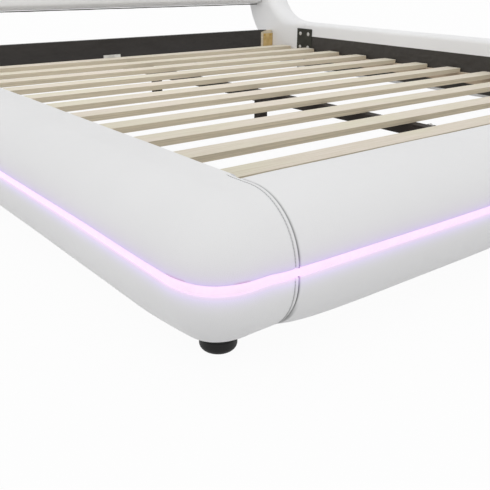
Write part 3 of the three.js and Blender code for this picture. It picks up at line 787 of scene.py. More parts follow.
class Workshop:
    """Makes pieces from shells and keeps the list of what was made."""

    def __init__(self) -> None:
        """Builds the materials."""
        self.materials = {look: look.finish.material() for look in Look}
        self.made: list[Object] = []

    def piece(
        self, name: str, shell: Shell, look: Look, *nodes: str, fill: float | None = None, sharp: float = 38.0
    ) -> Object:
        """Makes one piece and fixes it to the bed.

        Args:
            name: the piece's name.
            shell: its points and faces in millimetres.
            look: its finish, with the record's slot.
            nodes: the CAD nodes that it stands for.
            fill: how full it is, where it is padded; not used.
            sharp: angle in degrees above which an edge shows as an edge.

        Returns:
            The piece.
        """
        mesh = bpy.data.meshes.new(name)
        mesh.from_pydata((shell.points * METRE + ORIGIN).tolist(), [], shell.faces)
        work = bmesh.new()
        work.from_mesh(mesh)
        bmesh.ops.recalc_face_normals(work, faces=work.faces)
        work.to_mesh(mesh)
        work.free()
        mesh.materials.append(self.materials[look])
        mesh.shade_smooth()
        mesh.set_sharp_from_angle(angle=math.radians(sharp))
        made = shown(name, mesh)
        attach(made, BODY)
        if nodes:
            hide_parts(*nodes)
        self.made.append(made)
        return made

    def carve(self, piece: Object, low: Place, high: Place) -> None:
        """Cuts a square pocket out of a closed piece.

        Args:
            piece: the piece.
            low: the pocket's lowest corner in millimetres.
            high: its highest corner.
        """
        low, high = np.array(low), np.array(high)
        work = bmesh.new()
        bmesh.ops.create_cube(work, size=1.0)
        bmesh.ops.scale(work, vec=(high - low) * METRE, verts=work.verts)
        bmesh.ops.translate(work, vec=(high + low) / 2 * METRE + ORIGIN, verts=work.verts)
        mesh = bpy.data.meshes.new("pocket")
        work.to_mesh(mesh)
        work.free()
        cutter = shown("pocket", mesh)
        modify(piece, "pocket", "BOOLEAN", object=cutter, operation="DIFFERENCE", solver="EXACT")
        fix_form(piece)
        bpy.data.objects.remove(cutter)

    def dress(self, node: Object, look: Look, bevel: float) -> None:
        """Gives a CAD node its finish and soft edges.

        Args:
            node: the node.
            look: its finish.
            bevel: width of the edge rounding in millimetres, or nought for none.
        """
        node.data.materials.clear()
        node.data.materials.append(self.materials[look])
        if bevel:
            change = modify(node, "edges", "BEVEL", width=bevel * METRE, segments=2, limit_method="ANGLE")
            change.angle_limit = math.radians(50)
            change.harden_normals = True


@dataclass
class Assembly:
    """A sub-assembly of the bed."""

    shop: Workshop


# Sizes that several sub-assemblies share


@dataclass(frozen=True)
class RailShape:
    """Section of the padded rails, and the well that they stand round."""

    well_half: float = 905.0
    well_length: float = 2070.0
    bottom: float = 28.0
    height: float = 210.0
    side_thickness: float = 149.0
    foot_thickness: float = 138.0
    reach: float = 88.0
    upper_roll: float = 87.0
    lower_roll: float = 107.0
    foot_lower_roll: float = 100.0
    corner_side_roll: float = 97.0
    corner_roll: float = 86.0
    corner_heel: float = 15.5
    flat_reach: float = 20.0
    taper_start: float = 60.0
    side_top_fillet: float = 17.0
    foot_top_fillet: float = 30.0
    bottom_fillet: float = 8.0
    heel_spans: int = 6
    seam_inset: float = 14.0
    joint_setback: float = 233.0
    gap: float = 0.3
    strip_middle: float = 149.0
    strip_height: float = 13.0
    strip_depth: float = 9.0
    strip_proud: float = 1.0
    strip_hidden: float = 1.45
    strip_opening: float = 0.75
    corner_slack: float = 1.8
    seam_lift: float = 2.8
    foot_slack: float = 1.7
    lip: float = 1.6
    pocket_depth: float = 20.4
    pocket_low: float = 39.0
    pocket_high: float = 180.0

    @property
    def joint(self) -> float:
        """Place along the bed of the joint between rail and post."""
        return self.well_length - self.joint_setback

    @property
    def seam(self) -> float:
        """Place across the bed of the seam between corner and foot rail."""
        return self.well_half + self.seam_inset

    @property
    def turn_x(self) -> float:
        """Line round which the corner turns, across the bed."""
        return self.well_half + self.side_thickness - self.reach

    @property
    def turn_y(self) -> float:
        """Line round which the corner turns, along the bed."""
        return self.reach - self.foot_thickness

    def out(self, x: object, y: object) -> tuple[np.ndarray, np.ndarray]:
        """Distances outwards from the lines round which the corner turns."""
        return np.clip(x - self.turn_x, 0, None), np.clip(self.turn_y - y, 0, None)

    def strip_run(self, x: object, y: object) -> np.ndarray:
        """Distance along the strip's path beside a place, from where the foot corner begins to turn.

        Args:
            x: the place across the bed, without its sign.
            y: the place along the bed.

        Returns:
            The run, negative along the side rail.
        """
        x, y = np.asarray(x, float), np.asarray(y, float)
        out_x, out_y = self.out(x, y)
        turn = np.where(out_x + out_y > 0, np.arctan2(out_y, out_x), 0.0)
        return turn * self.reach - np.clip(y - self.turn_y, 0, None) + np.clip(self.turn_x - x, 0, None)

    def strip_line(self, x: object, y: object) -> np.ndarray:
        """Height of the strip's middle beside a place: level, but slightly slack round the corner.

        Args:
            x: the place across the bed, without its sign.
            y: the place along the bed.

        Returns:
            The height from the floor.
        """
        run = self.strip_run(x, y)
        slack = self.corner_slack * (ease(run, -230, -40) * (1 - ease(run, 70, 125)) + fade(run - 58, 34))
        return self.strip_middle - slack + self.seam_lift * fade(run - 136, 22) - self.foot_slack * ease(run, 150, 500)

    def strip_half(self, x: object, y: object) -> np.ndarray:
        """Half the height of the strip that shows beside a place, a little more where the corner opens the groove.

        Args:
            x: the place across the bed, without its sign.
            y: the place along the bed.

        Returns:
            Half the height.
        """
        run = self.strip_run(x, y)
        opened = ease(run, -60, 30) * (1 - ease(run, 90, 150))
        return 0.5 * self.strip_height - self.strip_hidden + self.strip_opening * opened

    def roll(self, lower: float, heel: float, beside: Pair | None) -> np.ndarray:
        """Outside of the section, from the flat top round to the heel.

        Args:
            lower: height of the lower quarter.
            heel: height of its inner end.
            beside: the place whose groove it has, or none for a section without the groove.

        Returns:
            Points as distance outwards and height above the rail's underside.
        """
        centre, reach, lip = self.height - self.upper_roll, self.reach, self.lip
        if beside is None:
            upper = arc((0, centre), (reach, self.upper_roll), 90, 0, 64)
            middle = straight((reach, centre), (reach, self.lower_roll), 6)[1:]
        else:
            line = float(self.strip_line(*beside)) - self.bottom
            half = float(self.strip_half(*beside)) + self.gap
            high, low = line + half, line - half
            start = math.asin((high + lip - centre) / self.upper_roll)
            upper = arc((0, centre), (reach, self.upper_roll), 90, math.degrees(start), 60)
            edge, deep, low_edge = reach * math.cos(start) - lip, reach - self.strip_depth - self.gap, reach - lip
            corners = [(edge, high), (deep, high), (deep, low), (low_edge, low)]
            over = arc((edge, high + lip), (lip, lip), 0, -90, 6)[1:]
            groove = [straight(first, last, 3)[1:] for first, last in zip(corners, corners[1:])]
            under = arc((low_edge, low - lip), (lip, lip), 90, 0, 6)[1:]
            rest = straight((reach, low - lip), (reach, self.lower_roll), 2)[1:]
            middle = np.concatenate([over, *groove, under, rest])
        under = arc((0, self.lower_roll), (reach, lower), 0, -80, 56)[1:]
        return np.concatenate([upper, middle, under, straight(under[-1], (0, heel), 4)[1:]])

    def inner(self, edge: float, steps: int, turn: float = 90.0, spans: int = 12) -> np.ndarray:
        """Inner face of the section and the fillet over it.

        Args:
            edge: the fillet's radius.
            steps: spans of the face.
            turn: how far the fillet turns in degrees.
            spans: spans of the fillet.

        Returns:
            Points as distance outwards and height above the rail's underside.
        """
        rise = straight((0, self.bottom_fillet), (0, self.height - edge), steps)[:-1]
        return np.concatenate([rise, arc((edge, self.height - edge), (edge, edge), 180, 180 - turn, spans)])

    def heel(self) -> np.ndarray:
        """The fillet between the underside and the inner face."""
        edge = self.bottom_fillet
        return arc((edge, edge), (edge, edge), -90, -180, self.heel_spans)[:-1]

    def top_height(self, inward: np.ndarray, fillet: float) -> np.ndarray:
        """Height of the flat top and its inner fillet, at a distance from the inner face."""
        inside = np.clip(1.0 - np.asarray(inward, float) / fillet, 0.0, 1.0)
        return self.height - fillet * (1.0 - np.sqrt(1.0 - inside**2))

    def under_height(self, inward: np.ndarray, thickness: float, heel: float) -> np.ndarray:
        """Height of the underside between the inner face and the roll, at a distance from the inner face."""
        share = (np.asarray(inward, float) - self.flat_reach) / (thickness - self.reach - self.flat_reach)
        return heel * np.clip(share, 0.0, 1.0)

    def uneven(self, points: np.ndarray) -> np.ndarray:
        """Unevenness of the rails' leather, none beside the groove.

        Args:
            points: the points.

        Returns:
            The depth at each point.
        """
        x, y, z = np.abs(points[:, 0]), points[:, 1], points[:, 2]
        beside = (np.abs(z - self.strip_line(x, y)) < 9) & (np.hypot(*self.out(x, y)) > 60)
        return np.where(beside, 0.0, swell(points, 0.5))


RAIL = RailShape()
# Distances from a seam, in millimetres, at which the leather beside it has points.
SEAM_STEPS = (
    0, 0.25, 0.6, 1.1, 1.7, 2.4, 3.2, 4.1, 4.9, 5.5, 6.0, 6.5, 7.0, 7.6, 8.4, 9.4, 11, 13, 16, 20, 25, 31, 37, 42
)


# Rails


@dataclass(frozen=True)
class SeamStyle:
    """How the leather turns in at a seam, with the row of stitches beside it."""

    radius: float = 2.6
    low_radius: float = 5.5
    stitched_share: float = 0.4
    draw: float = 0.8
    draw_length: float = 22.0
    fade_in: float = 9.0
    stitch_place: float = 6.5
    stitch_dip: float = 0.8
    stitch_width: float = 1.1
    pucker: float = 0.12
    pucker_pitch: float = 9.0
    # painted shade: how dark the seam's line, the shadow wedge low in the foot seam and the stitch crease are, and the
    # most of it
    line_dark: float = 0.34
    line_width: float = 1.4
    foot_dark: float = 0.55
    stitch_dark: float = 0.2
    most_dark: float = 0.9

    def depth(self, distance: np.ndarray, along: np.ndarray, points: np.ndarray, stitched: bool) -> np.ndarray:
        """Depth of the leather below its smooth form, nought at the well's edge.

        Args:
            distance: how far each point lies from the seam.
            along: how far along the seam it lies.
            points: the points.
            stitched: whether the stitches are on this side.

        Returns:
            The depth at each point.
        """
        away = np.clip(distance, 0.0, None)
        share = self.stitched_share if stitched else 1.0
        radius = self.radius + self.low_radius * (1 - ease(points[:, 2], 45, 120)) * share
        total = rounding(away, radius) + self.draw * fade(away, self.draw_length, 1)
        if stitched:
            total += self.stitch_dip * fade(away - self.stitch_place, self.stitch_width)
            ripple = np.sin(2 * math.pi * along / self.pucker_pitch) * np.exp(-((away - self.stitch_place) ** 2) / 60)
            total += self.pucker * ripple
        return total * np.clip(-points[:, 1] / self.fade_in, 0.0, 1.0)

    def painted_shade_share(self, distance: np.ndarray, height: np.ndarray, stitched: np.ndarray) -> np.ndarray:
        """Painted shade: the share of its colour that the leather loses in the seam and along the stitches, deeper low
        down.

        Args:
            distance: how far each point lies from the seam.
            height: height of each point from the floor.
            stitched: which points lie on the side of the stitches.

        Returns:
            The share at each point.
        """
        away = np.abs(distance)
        low = 1 - ease(height, 90, 235)
        seam = self.line_dark * (1 + 1.3 * low) * fade(away, self.line_width)
        seam += self.foot_dark * (1 - ease(height, 72, 110)) * fade(away, self.stitch_place, 4)
        stitches = self.stitch_dark * (1 + 0.9 * low) * fade(away - self.stitch_place, self.stitch_width) * stitched
        return np.clip(seam + stitches, 0.0, self.most_dark)


@dataclass(frozen=True)
class StripLight:
    """The strip's light painted on the leather above and below it as emission, and the painted shade that darkens the
    leather there.
    """

    # painted light: the strip's glow on the leather above and below it, shown as emission
    above: Rgb = (0.06, 0.01, 0.24)
    above_reach: float = 5.8
    # painted shade over the strip, which also tints the leather purple there
    painted_shade_above: Rgb = (0.06, 0.15, 0.0)
    painted_shade_reach: float = 10.5
    below: Rgb = (0.25, 0.06, 0.26)
    below_reach: Rgb = (4.6, 3.4, 11.5)
    below_power: Rgb = (1.0, 1.0, 1.6)
    wide_below: Rgb = (0.035, 0.025, 0.02)
    wide_reach: float = 17.0
    # painted shade tinted magenta in a thin line just above the strip, over two stretches of the corner, where the
    # strip's painted light is mostly taken away
    edge_lines: tuple[Pair, ...] = ((10.0, 34.0), (98.0, 110.0))
    edge_width: float = 2.0
    painted_edge_shade: Rgb = (0.12, 0.5, 0.3)

    def write(self, piece: Object, seam: SeamStyle) -> None:
        """Writes the strip's painted light and the painted shade of the strip and the seams on each point of a cover.

        Args:
            piece: the cover.
            seam: the seam beside the foot corner.
        """
        x, y, z = from_metres(places_of(piece)).T
        x = np.abs(x)
        beside = np.hypot(*RAIL.out(x, y)) > RAIL.reach * 0.6
        above = z - RAIL.strip_line(x, y)
        away = np.clip(np.abs(above) - RAIL.strip_half(x, y), 0.0, None)[:, None]
        upper = np.array(self.above) * fade(away, self.above_reach, 1)
        lower = np.array(self.below) * fade(away, np.array(self.below_reach), np.array(self.below_power))
        lower = lower + np.array(self.wide_below) * fade(away, self.wide_reach)
        light = np.where((above > 0)[:, None], upper, lower) * beside[:, None]
        painted_dark = np.array(self.painted_shade_above) * fade(away, self.painted_shade_reach, 1) * ((above > 0) & beside)[:, None]
        run = RAIL.strip_run(x, y)
        line = sum(ease(run, start - 5, start) * (1 - ease(run, end, end + 5)) for start, end in self.edge_lines)
        away = away[:, 0]
        line = line * ((above > 0) & beside & (away > 0.8)) * fade(away, self.edge_width, 4)
        # painted shade in the foot seams, weaker near the strip
        dark = seam.painted_shade_share(x - RAIL.seam, z, x > RAIL.seam) * (y < -0.5) * np.clip(0.3 + away / 20, 0, 1)
        kept = (1 - painted_dark) * (1 - np.array(self.painted_edge_shade) * line[:, None]) * (1 - dark[:, None])
        for name, values in (("strip_light", light * (1 - 0.8 * line[:, None])), ("painted_shade", 1 - kept)):
            layer = piece.data.attributes.new(name, "FLOAT_COLOR", "POINT")
            layer.data.foreach_set("color", np.column_stack([values, np.ones(len(values))]).astype(np.float32).ravel())


@dataclass
class SideRail(Assembly):
    """One padded side rail with the foot corner and its row of stitches."""

    side: Side
    seam: SeamStyle
    face: float = RAIL.seam + RAIL.gap
    face_spans: int = 9
    fillet_spans: int = 8

    def __post_init__(self) -> None:
        """Works out the columns between the seam and the line round which the corner turns."""
        last = RAIL.turn_x - self.face
        self.across = self.face + np.array([*(step for step in SEAM_STEPS if step < last), last])

    def taper(self, y: float) -> float:
        """Share of the corner's narrower section that holds at a place along the bed."""
        return float(np.clip((RAIL.taper_start - y) / (RAIL.taper_start - RAIL.turn_y), 0.0, 1.0))

    def lower(self, y: float) -> float:
        """Height of the roll's lower quarter at a place along the bed."""
        return RAIL.lower_roll + (RAIL.corner_side_roll - RAIL.lower_roll) * self.taper(y) ** 1.5

    def underside(self, x: np.ndarray, y: float) -> np.ndarray:
        """Height of the underside near the well, where the side's and the foot's meet at the corner.

        Args:
            x: places across the bed.
            y: the place along the bed.

        Returns:
            The height above the rail's underside at each place.
        """
        height = RAIL.under_height(x - RAIL.well_half, RAIL.side_thickness, RAIL.corner_heel * self.taper(y))
        if y < 0:
            inner = RAIL.corner_heel * np.clip(1.0 + y / RAIL.bottom_fillet, 0.0, 1.0)
            outer = RAIL.under_height(np.array([-y]), RAIL.foot_thickness, RAIL.corner_heel)[0]
            height = np.minimum(height, max(inner, outer))
        return height

    def top(self, y: float) -> np.ndarray:
        """Height of the top at each column, where the two inner fillets meet at the corner."""
        own = RAIL.top_height(self.across - RAIL.well_half, RAIL.side_top_fillet)
        return own if y >= 0 else np.maximum(own, RAIL.top_height(np.array([-y]), RAIL.foot_top_fillet)[0])

    def section(self, y: float, whole: bool) -> np.ndarray:
        """Points of the section at a place along the bed, from the inside over the top to the bottom.

        Args:
            y: the place along the bed.
            whole: whether it starts at the inner face, or else at the seam.

        Returns:
            The points.
        """
        roll = RAIL.roll(self.lower(y), RAIL.corner_heel * self.taper(y), (RAIL.turn_x + RAIL.reach, y))
        over = np.stack([self.across, np.maximum(self.top(y), 0)], axis=1)
        under = np.stack([self.across, self.underside(self.across, y)], axis=1)[::-1]
        parts = [over, roll[1:-1] + np.array([RAIL.turn_x, 0.0]), under]
        if whole:
            inside, edge = np.array([RAIL.well_half, 0.0]), RAIL.side_top_fillet
            turn = math.degrees(math.acos(1 - (self.across[0] - RAIL.well_half) / edge))
            face = RAIL.inner(edge, self.face_spans, turn, self.fillet_spans)[:-1]
            parts = [face + inside, *parts, RAIL.heel() + inside]
        flat = np.concatenate(parts)
        return np.stack([flat[:, 0], np.full(len(flat), y), flat[:, 1] + RAIL.bottom], axis=1)

    def shells(self) -> tuple[Shell, Shell]:
        """Builds the cover of the right side.

        Returns:
            The closed shell and the shell of its stitches.
        """
        shell = Shell()
        end = RAIL.joint - RAIL.gap
        far = [end - step for step in (0, 0.3, 0.7, 1.2, 2, 3, 5, 8)]
        places = [*far, *np.linspace(end - 14, 80, 130), *np.linspace(70, 0, 15)]
        long = shell.grid([self.section(y, True) for y in places], closed=True)
        near = shell.grid([self.section(y, False) for y in (0, -1.5, -4, -7, *np.linspace(-10, RAIL.turn_y, 14))])
        rows = []
        for turn in np.linspace(0, QUARTER, 37):
            lower = RAIL.corner_roll + (RAIL.corner_side_roll - RAIL.corner_roll) * (1 - turn / QUARTER)
            out_x, out_y = math.cos(turn), -math.sin(turn)
            beside = (RAIL.turn_x + out_x * RAIL.reach, RAIL.turn_y + out_y * RAIL.reach)
            rows.append(self.turned(RAIL.roll(lower, RAIL.corner_heel, beside), RAIL.turn_x, out_x, out_y))
        shell.grid(rows)
        rows = []
        for x in self.across[::-1]:
            roll = RAIL.roll(RAIL.corner_roll, RAIL.corner_heel, (x, RAIL.turn_y - RAIL.reach))
            foot = self.underside(np.array([x]), RAIL.turn_y)[0]
            roll[-5:, 1] += (foot - RAIL.corner_heel) * np.linspace(0, 1, 5)
            rows.append(self.turned(roll, x, 0.0, -1.0))
        back = shell.grid(rows)
        column = int(np.argmin(np.abs(self.across - self.face - self.seam.stitch_place)))
        chain = [*near[:-1, column], *back[len(self.across) - 1 - column, :-8]]
        first_over, last_under = self.face_spans + self.fillet_spans, -RAIL.heel_spans - 1
        inner_loop = [*long[-1, : first_over + 1], *long[-1, last_under:]]
        seam_loop = [*near[:, 0], *back[-1, 1:-1], *near[::-1, -1]]
        numbers = shell.weld()
        chain = numbers[np.array(chain)]
        facing = shell.normals()[chain]
        x, y, _ = shell.points.T
        depth = self.seam.depth(np.where(y <= 0, x - self.face, 1e3), self.along(shell.points), shell.points, True)
        shell.sink(depth + rounding(end - y, 1.5) + RAIL.uneven(shell.points) * np.clip((y + 200) / 60, 0, 1))
        for loop in (inner_loop, seam_loop, long[0]):
            shell.cap(dict.fromkeys(int(numbers[number]) for number in loop))
        return shell, StitchRow(shell.points[chain], facing).shell()

    def along(self, points: np.ndarray) -> np.ndarray:
        """Rough distance along the foot seam: inwards over the top, then down the roll."""
        angle = np.arctan2(RAIL.strip_middle - points[:, 2], np.clip(RAIL.turn_y - points[:, 1], 0, None))
        return -points[:, 1] * (points[:, 1] > RAIL.turn_y) + angle * RAIL.reach

    def turned(self, roll: np.ndarray, x: float, out_x: float, out_y: float) -> np.ndarray:
        """A roll standing on the corner's turning line, facing along a level direction."""
        out, height = roll.T
        return np.stack([x + out_x * out, RAIL.turn_y + out_y * out, RAIL.bottom + height], axis=1)

    def build(self) -> None:
        """Makes the cover and its stitches."""
        side = self.side
        shell, stitches = self.shells()
        name, node = f"side_rail_leather_{side.label}", f"side_cover_{side.label}"
        cover = self.shop.piece(name, shell.mirrored(side), Look.LEATHER, node, fill=0.9)
        low_x, high_x = sorted(side.value * x for x in (RAIL.well_half - 5, RAIL.well_half + RAIL.pocket_depth))
        self.shop.carve(cover, (low_x, -0.02, RAIL.pocket_low), (high_x, RAIL.joint + 5, RAIL.pocket_high))
        StripLight().write(cover, self.seam)
        self.shop.piece(f"corner_stitches_{side.label}", stitches.mirrored(side), Look.THREAD)


@dataclass
class StitchRow:
    """A row of separate lock stitches along points on the leather, each a short thread that dives at both ends."""

    path: np.ndarray
    facing: np.ndarray
    pitch: float = 4.2
    length: float = 3.7
    first: float = 4.0
    radius: float = 0.42
    sides: int = 7
    strip_room: float = 8.5

    def shell(self) -> Shell:
        """Builds every stitch but those that the strip would cover.

        Returns:
            The shell of all the stitches.
        """
        run = np.concatenate([[0], np.cumsum(np.linalg.norm(np.diff(self.path, axis=0), axis=1))])
        arch = np.sin(np.linspace(0, math.pi, 7))
        turns = np.linspace(0, 2 * math.pi, self.sides, endpoint=False)[None, :, None]
        shell = Shell()
        for start in np.arange(self.first, run[-1] - self.length, self.pitch):
            at = np.linspace(start, start + self.length, 7)
            middle, up = (
                np.stack([np.interp(at, run, values[:, axis]) for axis in range(3)], axis=1)
                for values in (self.path, self.facing)
            )
            if abs(middle[3, 2] - RAIL.strip_middle) < self.strip_room and middle[3, 1] < RAIL.turn_y - 60:
                continue
            up /= np.linalg.norm(up, axis=1, keepdims=True)
            middle = middle + up * (0.25 + 0.5 * (arch - 0.5))[:, None]
            ahead = np.gradient(middle, axis=0)
            ahead /= np.linalg.norm(ahead, axis=1, keepdims=True)
            width = self.radius * np.sqrt(np.clip(arch, 0.12, 1.0))[:, None, None]
            around = up[:, None] * np.cos(turns) + np.cross(ahead, up)[:, None] * np.sin(turns)
            shell.tube(middle[:, None] + around * width)
        return shell


@dataclass
class FootRail(Assembly):
    """The padded foot rail between the two corner seams."""

    seam: SeamStyle
    blend_reach: float = 46.0

    def section(self, x: float) -> np.ndarray:
        """Points of the section at a place across the bed.

        Args:
            x: the place.

        Returns:
            The points.
        """
        share = math.exp(-(RAIL.seam - abs(x)) / self.blend_reach)
        lower = RAIL.foot_lower_roll - (RAIL.foot_lower_roll - RAIL.corner_roll) * share
        heel = (RAIL.lower_roll - RAIL.foot_lower_roll) * (1 - share) + RAIL.corner_heel * share
        flat, edge = RAIL.foot_thickness - RAIL.reach, RAIL.foot_top_fillet
        roll = RAIL.roll(lower, heel, (abs(x), RAIL.turn_y - RAIL.reach)) + np.array([flat, 0.0])
        over = straight((edge, RAIL.height), (flat, RAIL.height), 4)[1:-1]
        under = straight((flat, heel), (RAIL.flat_reach, 0), 6)[1:]
        level = straight((RAIL.flat_reach, 0), (RAIL.bottom_fillet, 0), 2)[1:-1]
        outline = np.concatenate([RAIL.inner(edge, 9), over, roll, under, level, RAIL.heel()])
        return np.stack([np.full(len(outline), x), -outline[:, 0], outline[:, 1] + RAIL.bottom], axis=1)

    def depth(self, points: np.ndarray) -> np.ndarray:
        """Depth of the leather below its smooth form.

        Args:
            points: the points.

        Returns:
            The depth at each point.
        """
        x, y, _ = points.T
        seam = self.seam.depth(RAIL.seam - np.abs(x), y, points, False)
        return (seam + RAIL.uneven(points)) * np.clip(-y / 6.0, 0, 1)

    def build(self) -> None:
        """Makes the cover."""
        ends = [*SEAM_STEPS, 48, 56, 66, 78, 92, 108, 126]
        middle = np.linspace(RAIL.seam - 146, -(RAIL.seam - 146), 100)
        places = [*(RAIL.seam - step for step in ends), *middle, *(step - RAIL.seam for step in reversed(ends))]
        shell = Shell().tube([self.section(x) for x in places], self.depth)
        cover = self.shop.piece("foot_rail_leather", shell, Look.LEATHER, "foot_cover", fill=0.9)
        reach = RAIL.seam + 5
        self.shop.carve(cover, (-reach, -RAIL.pocket_depth, RAIL.pocket_low), (reach, 5, RAIL.pocket_high))
        StripLight().write(cover, self.seam)


@dataclass
class LightStrip(Assembly):
    """The lit strip in its groove: a silicone profile with a gently domed face."""

    shoulder: float = 4.0

    def section(self) -> np.ndarray:
        """The strip's section, domed at its front.

        Returns:
            Points as distance inwards from the roll's widest line and share of the half height.
        """
        heights = np.linspace(1.0, -1.0, 13)
        dome = -RAIL.strip_proud + 2.0 * np.abs(heights) ** 3.2
        rear, shoulder = RAIL.strip_depth, self.shoulder
        back = [(shoulder, -1.0), (rear, -1.0), (rear, 1.0), (shoulder, 1.0)]
        return np.concatenate([np.stack([dome, heights], axis=1), back])

    def ring(self, x: float, turn: float = 0.0, y: float = RAIL.turn_y) -> np.ndarray:
        """The section where the strip passes a place.

        Args:
            x: place of the line that it turns round, across the bed.
            turn: how far it has turned from facing the foot to facing the side.
            y: place of that line along the bed.

        Returns:
            The points.
        """
        out_x, out_y = math.sin(turn), -math.cos(turn)
        inward, share = self.section().T
        beside = (abs(x + out_x * RAIL.reach), y + out_y * RAIL.reach)
        heights = RAIL.strip_line(*beside) + share * RAIL.strip_half(*beside)
        out = RAIL.reach - inward
        return np.stack([x + out_x * out, y + out_y * out, heights], axis=1)

    def build(self) -> None:
        """Makes the two side strips, from the seam round the corner to the joint, and the foot's."""
        rows = [self.ring(x) for x in np.linspace(RAIL.seam + 2 * RAIL.gap, RAIL.turn_x, 7)]
        rows += [self.ring(RAIL.turn_x, turn) for turn in np.linspace(0, QUARTER, 33)[1:]]
        along = [*np.linspace(RAIL.turn_y + 12, 230, 24), *np.linspace(260, RAIL.joint - 2 * RAIL.gap, 36)]
        shell = Shell().tube(rows + [self.ring(RAIL.turn_x, QUARTER, y) for y in along])
        foot = Shell().tube([self.ring(x) for x in np.linspace(-RAIL.seam, RAIL.seam, 81)])
        for name, strip in (("left", shell.mirrored(Side.LEFT)), ("right", shell), ("foot", foot)):
            self.shop.piece(f"light_strip_profile_{name}", strip, Look.STRIP, f"light_strip_{name}")


# Posts and headboard


def cubic(start: tuple[Place, float, float], end: tuple[Place, float, float]) -> Callable[[float], np.ndarray]:
    """A cubic curve in the side view.

    Args:
        start: its first point, the curve's degrees above level there and how far that direction pulls it.
        end: the same of its last point.

    Returns:
        A function of the share of the curve.
    """
    first, last = np.array(start[0], float), np.array(end[0], float)
    second, third = first + heading(start[1]) * start[2], last - heading(end[1]) * end[2]

    def at(share: float) -> np.ndarray:
        """The point at a share of the curve."""
        rest = 1 - share
        return rest**3 * first + 3 * rest**2 * share * second + 3 * rest * share**2 * third + share**3 * last

    return at


@dataclass
class HeadPost(Assembly):
    """One swept post: the rail's section carried up and back, closed by a rounded top."""

    side: Side
    sweep_end: Pair = (2128.0, 406.0)
    sweep_pulls: Pair = (160.0, 135.0)
    front_lean: float = 68.0
    heel: Pair = (1940.0, 28.0)
    back_turn: Pair = (2239.8, 252.0)
    back_pulls: Pair = (150.0, 44.0)
    back_lean: float = 66.0
    top_lean: float = 75.0
    top_reach: float = 2322.0
    top_height: float = 848.0
    half_depth: float = 62.0
    top_thickness: float = 120.0
    front_pull: float = 130.0
    rear_pull: float = 150.0
    board_length: float = 150.0
    full_fillet: float = 43.0
    fill_length: float = 150.0

    def edges(self) -> list[tuple[np.ndarray, np.ndarray, float, float]]:
        """The rings of the post, from the joint to the top.

        Returns:
            Front and back edge of every ring, the share of its rise and how far the top has closed.
        """
        up = heading(self.top_lean)
        forward = np.array([-up[1], up[0]])
        crest = np.array([self.top_reach, self.top_height - self.half_depth * up[1]])
        front_top, back_top = crest + forward * self.half_depth, crest - forward * self.half_depth
        joint, top = RAIL.joint + RAIL.gap, RAIL.bottom + RAIL.height
        sweep = cubic(((joint, top), 0, self.sweep_pulls[0]), (self.sweep_end, self.front_lean, self.sweep_pulls[1]))
        under = cubic((self.heel, 0, self.back_pulls[0]), (self.back_turn, self.back_lean, self.back_pulls[1]))
        front = cubic((self.sweep_end, self.front_lean, self.front_pull), (front_top, self.top_lean, self.front_pull))
        rear = cubic((self.back_turn, self.back_lean, self.rear_pull), (back_top, self.top_lean, self.rear_pull))
        start = np.array([joint, RAIL.bottom])
        bend = 1 / 9
        found = []
        for share in (0, 0.0003, 0.0008, 0.0016, 0.003, 0.006, 0.012, *np.linspace(0.025, 1, 46)):
            back = under(share) if share > bend else start + (under(bend) - start) * share / bend
            found.append((sweep(share), back, 0.0, 1.0))
        found += [(front(share), rear(share), share, 1.0) for share in np.linspace(0, 1, 34)[1:]]
        for degrees in (*range(6, 67, 6), 71, 76, 80, 83.5, 86.5, 88.5):
            along, across = heading(degrees)[::-1] * self.half_depth
            middle = crest + up * along
            closing = math.sqrt(across / self.half_depth)
            found.append((middle + forward * across, middle - forward * across, 1.0, closing))
        return found

    def outline(self, share: float) -> np.ndarray:
        """The rail's section without its groove, in one loop.

        Args:
            share: how far the fuller inner edges of the post have taken over from the rail's, up to one.

        Returns:
            Points as distance from the inner face and height above the rail's underside.
        """
        flat = RAIL.side_thickness - RAIL.reach
        edge = RAIL.side_top_fillet + (self.full_fillet - RAIL.side_top_fillet) * share
        over = straight((edge, RAIL.height), (flat, RAIL.height), 5)[1:-1]
        roll = RAIL.roll(RAIL.lower_roll, 0.0, None) + np.array([flat, 0.0])
        under = straight((flat, 0), (RAIL.bottom_fillet, 0), 6)[1:-1]
        return np.concatenate([RAIL.inner(edge, 14), over, roll, under, RAIL.heel()])

    def depth(self, points: np.ndarray) -> np.ndarray:
        """Depth of the leather below its smooth form.

        Args:
            points: the points.

        Returns:
            The depth at each point.
        """
        x, y, _ = points.T
        uneven = swell(points, 0.5) * np.clip((y - RAIL.joint) / 80, 0, 1) * (x > RAIL.well_half + 1)
        return rounding(y - RAIL.joint - RAIL.gap, 1.5) + uneven

    def build(self) -> None:
        """Makes the cover, built as the right post's, with its pocket for the board."""
        rows = []
        for front, back, rise, closing in self.edges():
            outline = self.outline(float(ease(front[0], RAIL.joint + 4, RAIL.joint + self.fill_length)))
            thickness = RAIL.side_thickness + (self.top_thickness - RAIL.side_thickness) * rise
            middle = thickness / 2
            out = middle + (outline[:, 0] / RAIL.side_thickness * thickness - middle) * closing
            flat = back + (front - back) * outline[:, 1:] / RAIL.height
            rows.append(np.column_stack([RAIL.well_half + out, flat]))
        name, node = f"post_leather_{self.side.label}", f"post_cover_{self.side.label}"
        shell = Shell().tube(rows, self.depth).mirrored(self.side)
        cover = self.shop.piece(name, shell, Look.LEATHER, node, fill=0.9)
        places = (RAIL.well_half + 1.5, RAIL.well_half + RAIL.pocket_depth)
        low_x, high_x = sorted(self.side.value * x for x in places)
        end = RAIL.joint + self.board_length + RAIL.gap
        self.shop.carve(cover, (low_x, RAIL.joint - 5, RAIL.pocket_low), (high_x, end, RAIL.pocket_high))


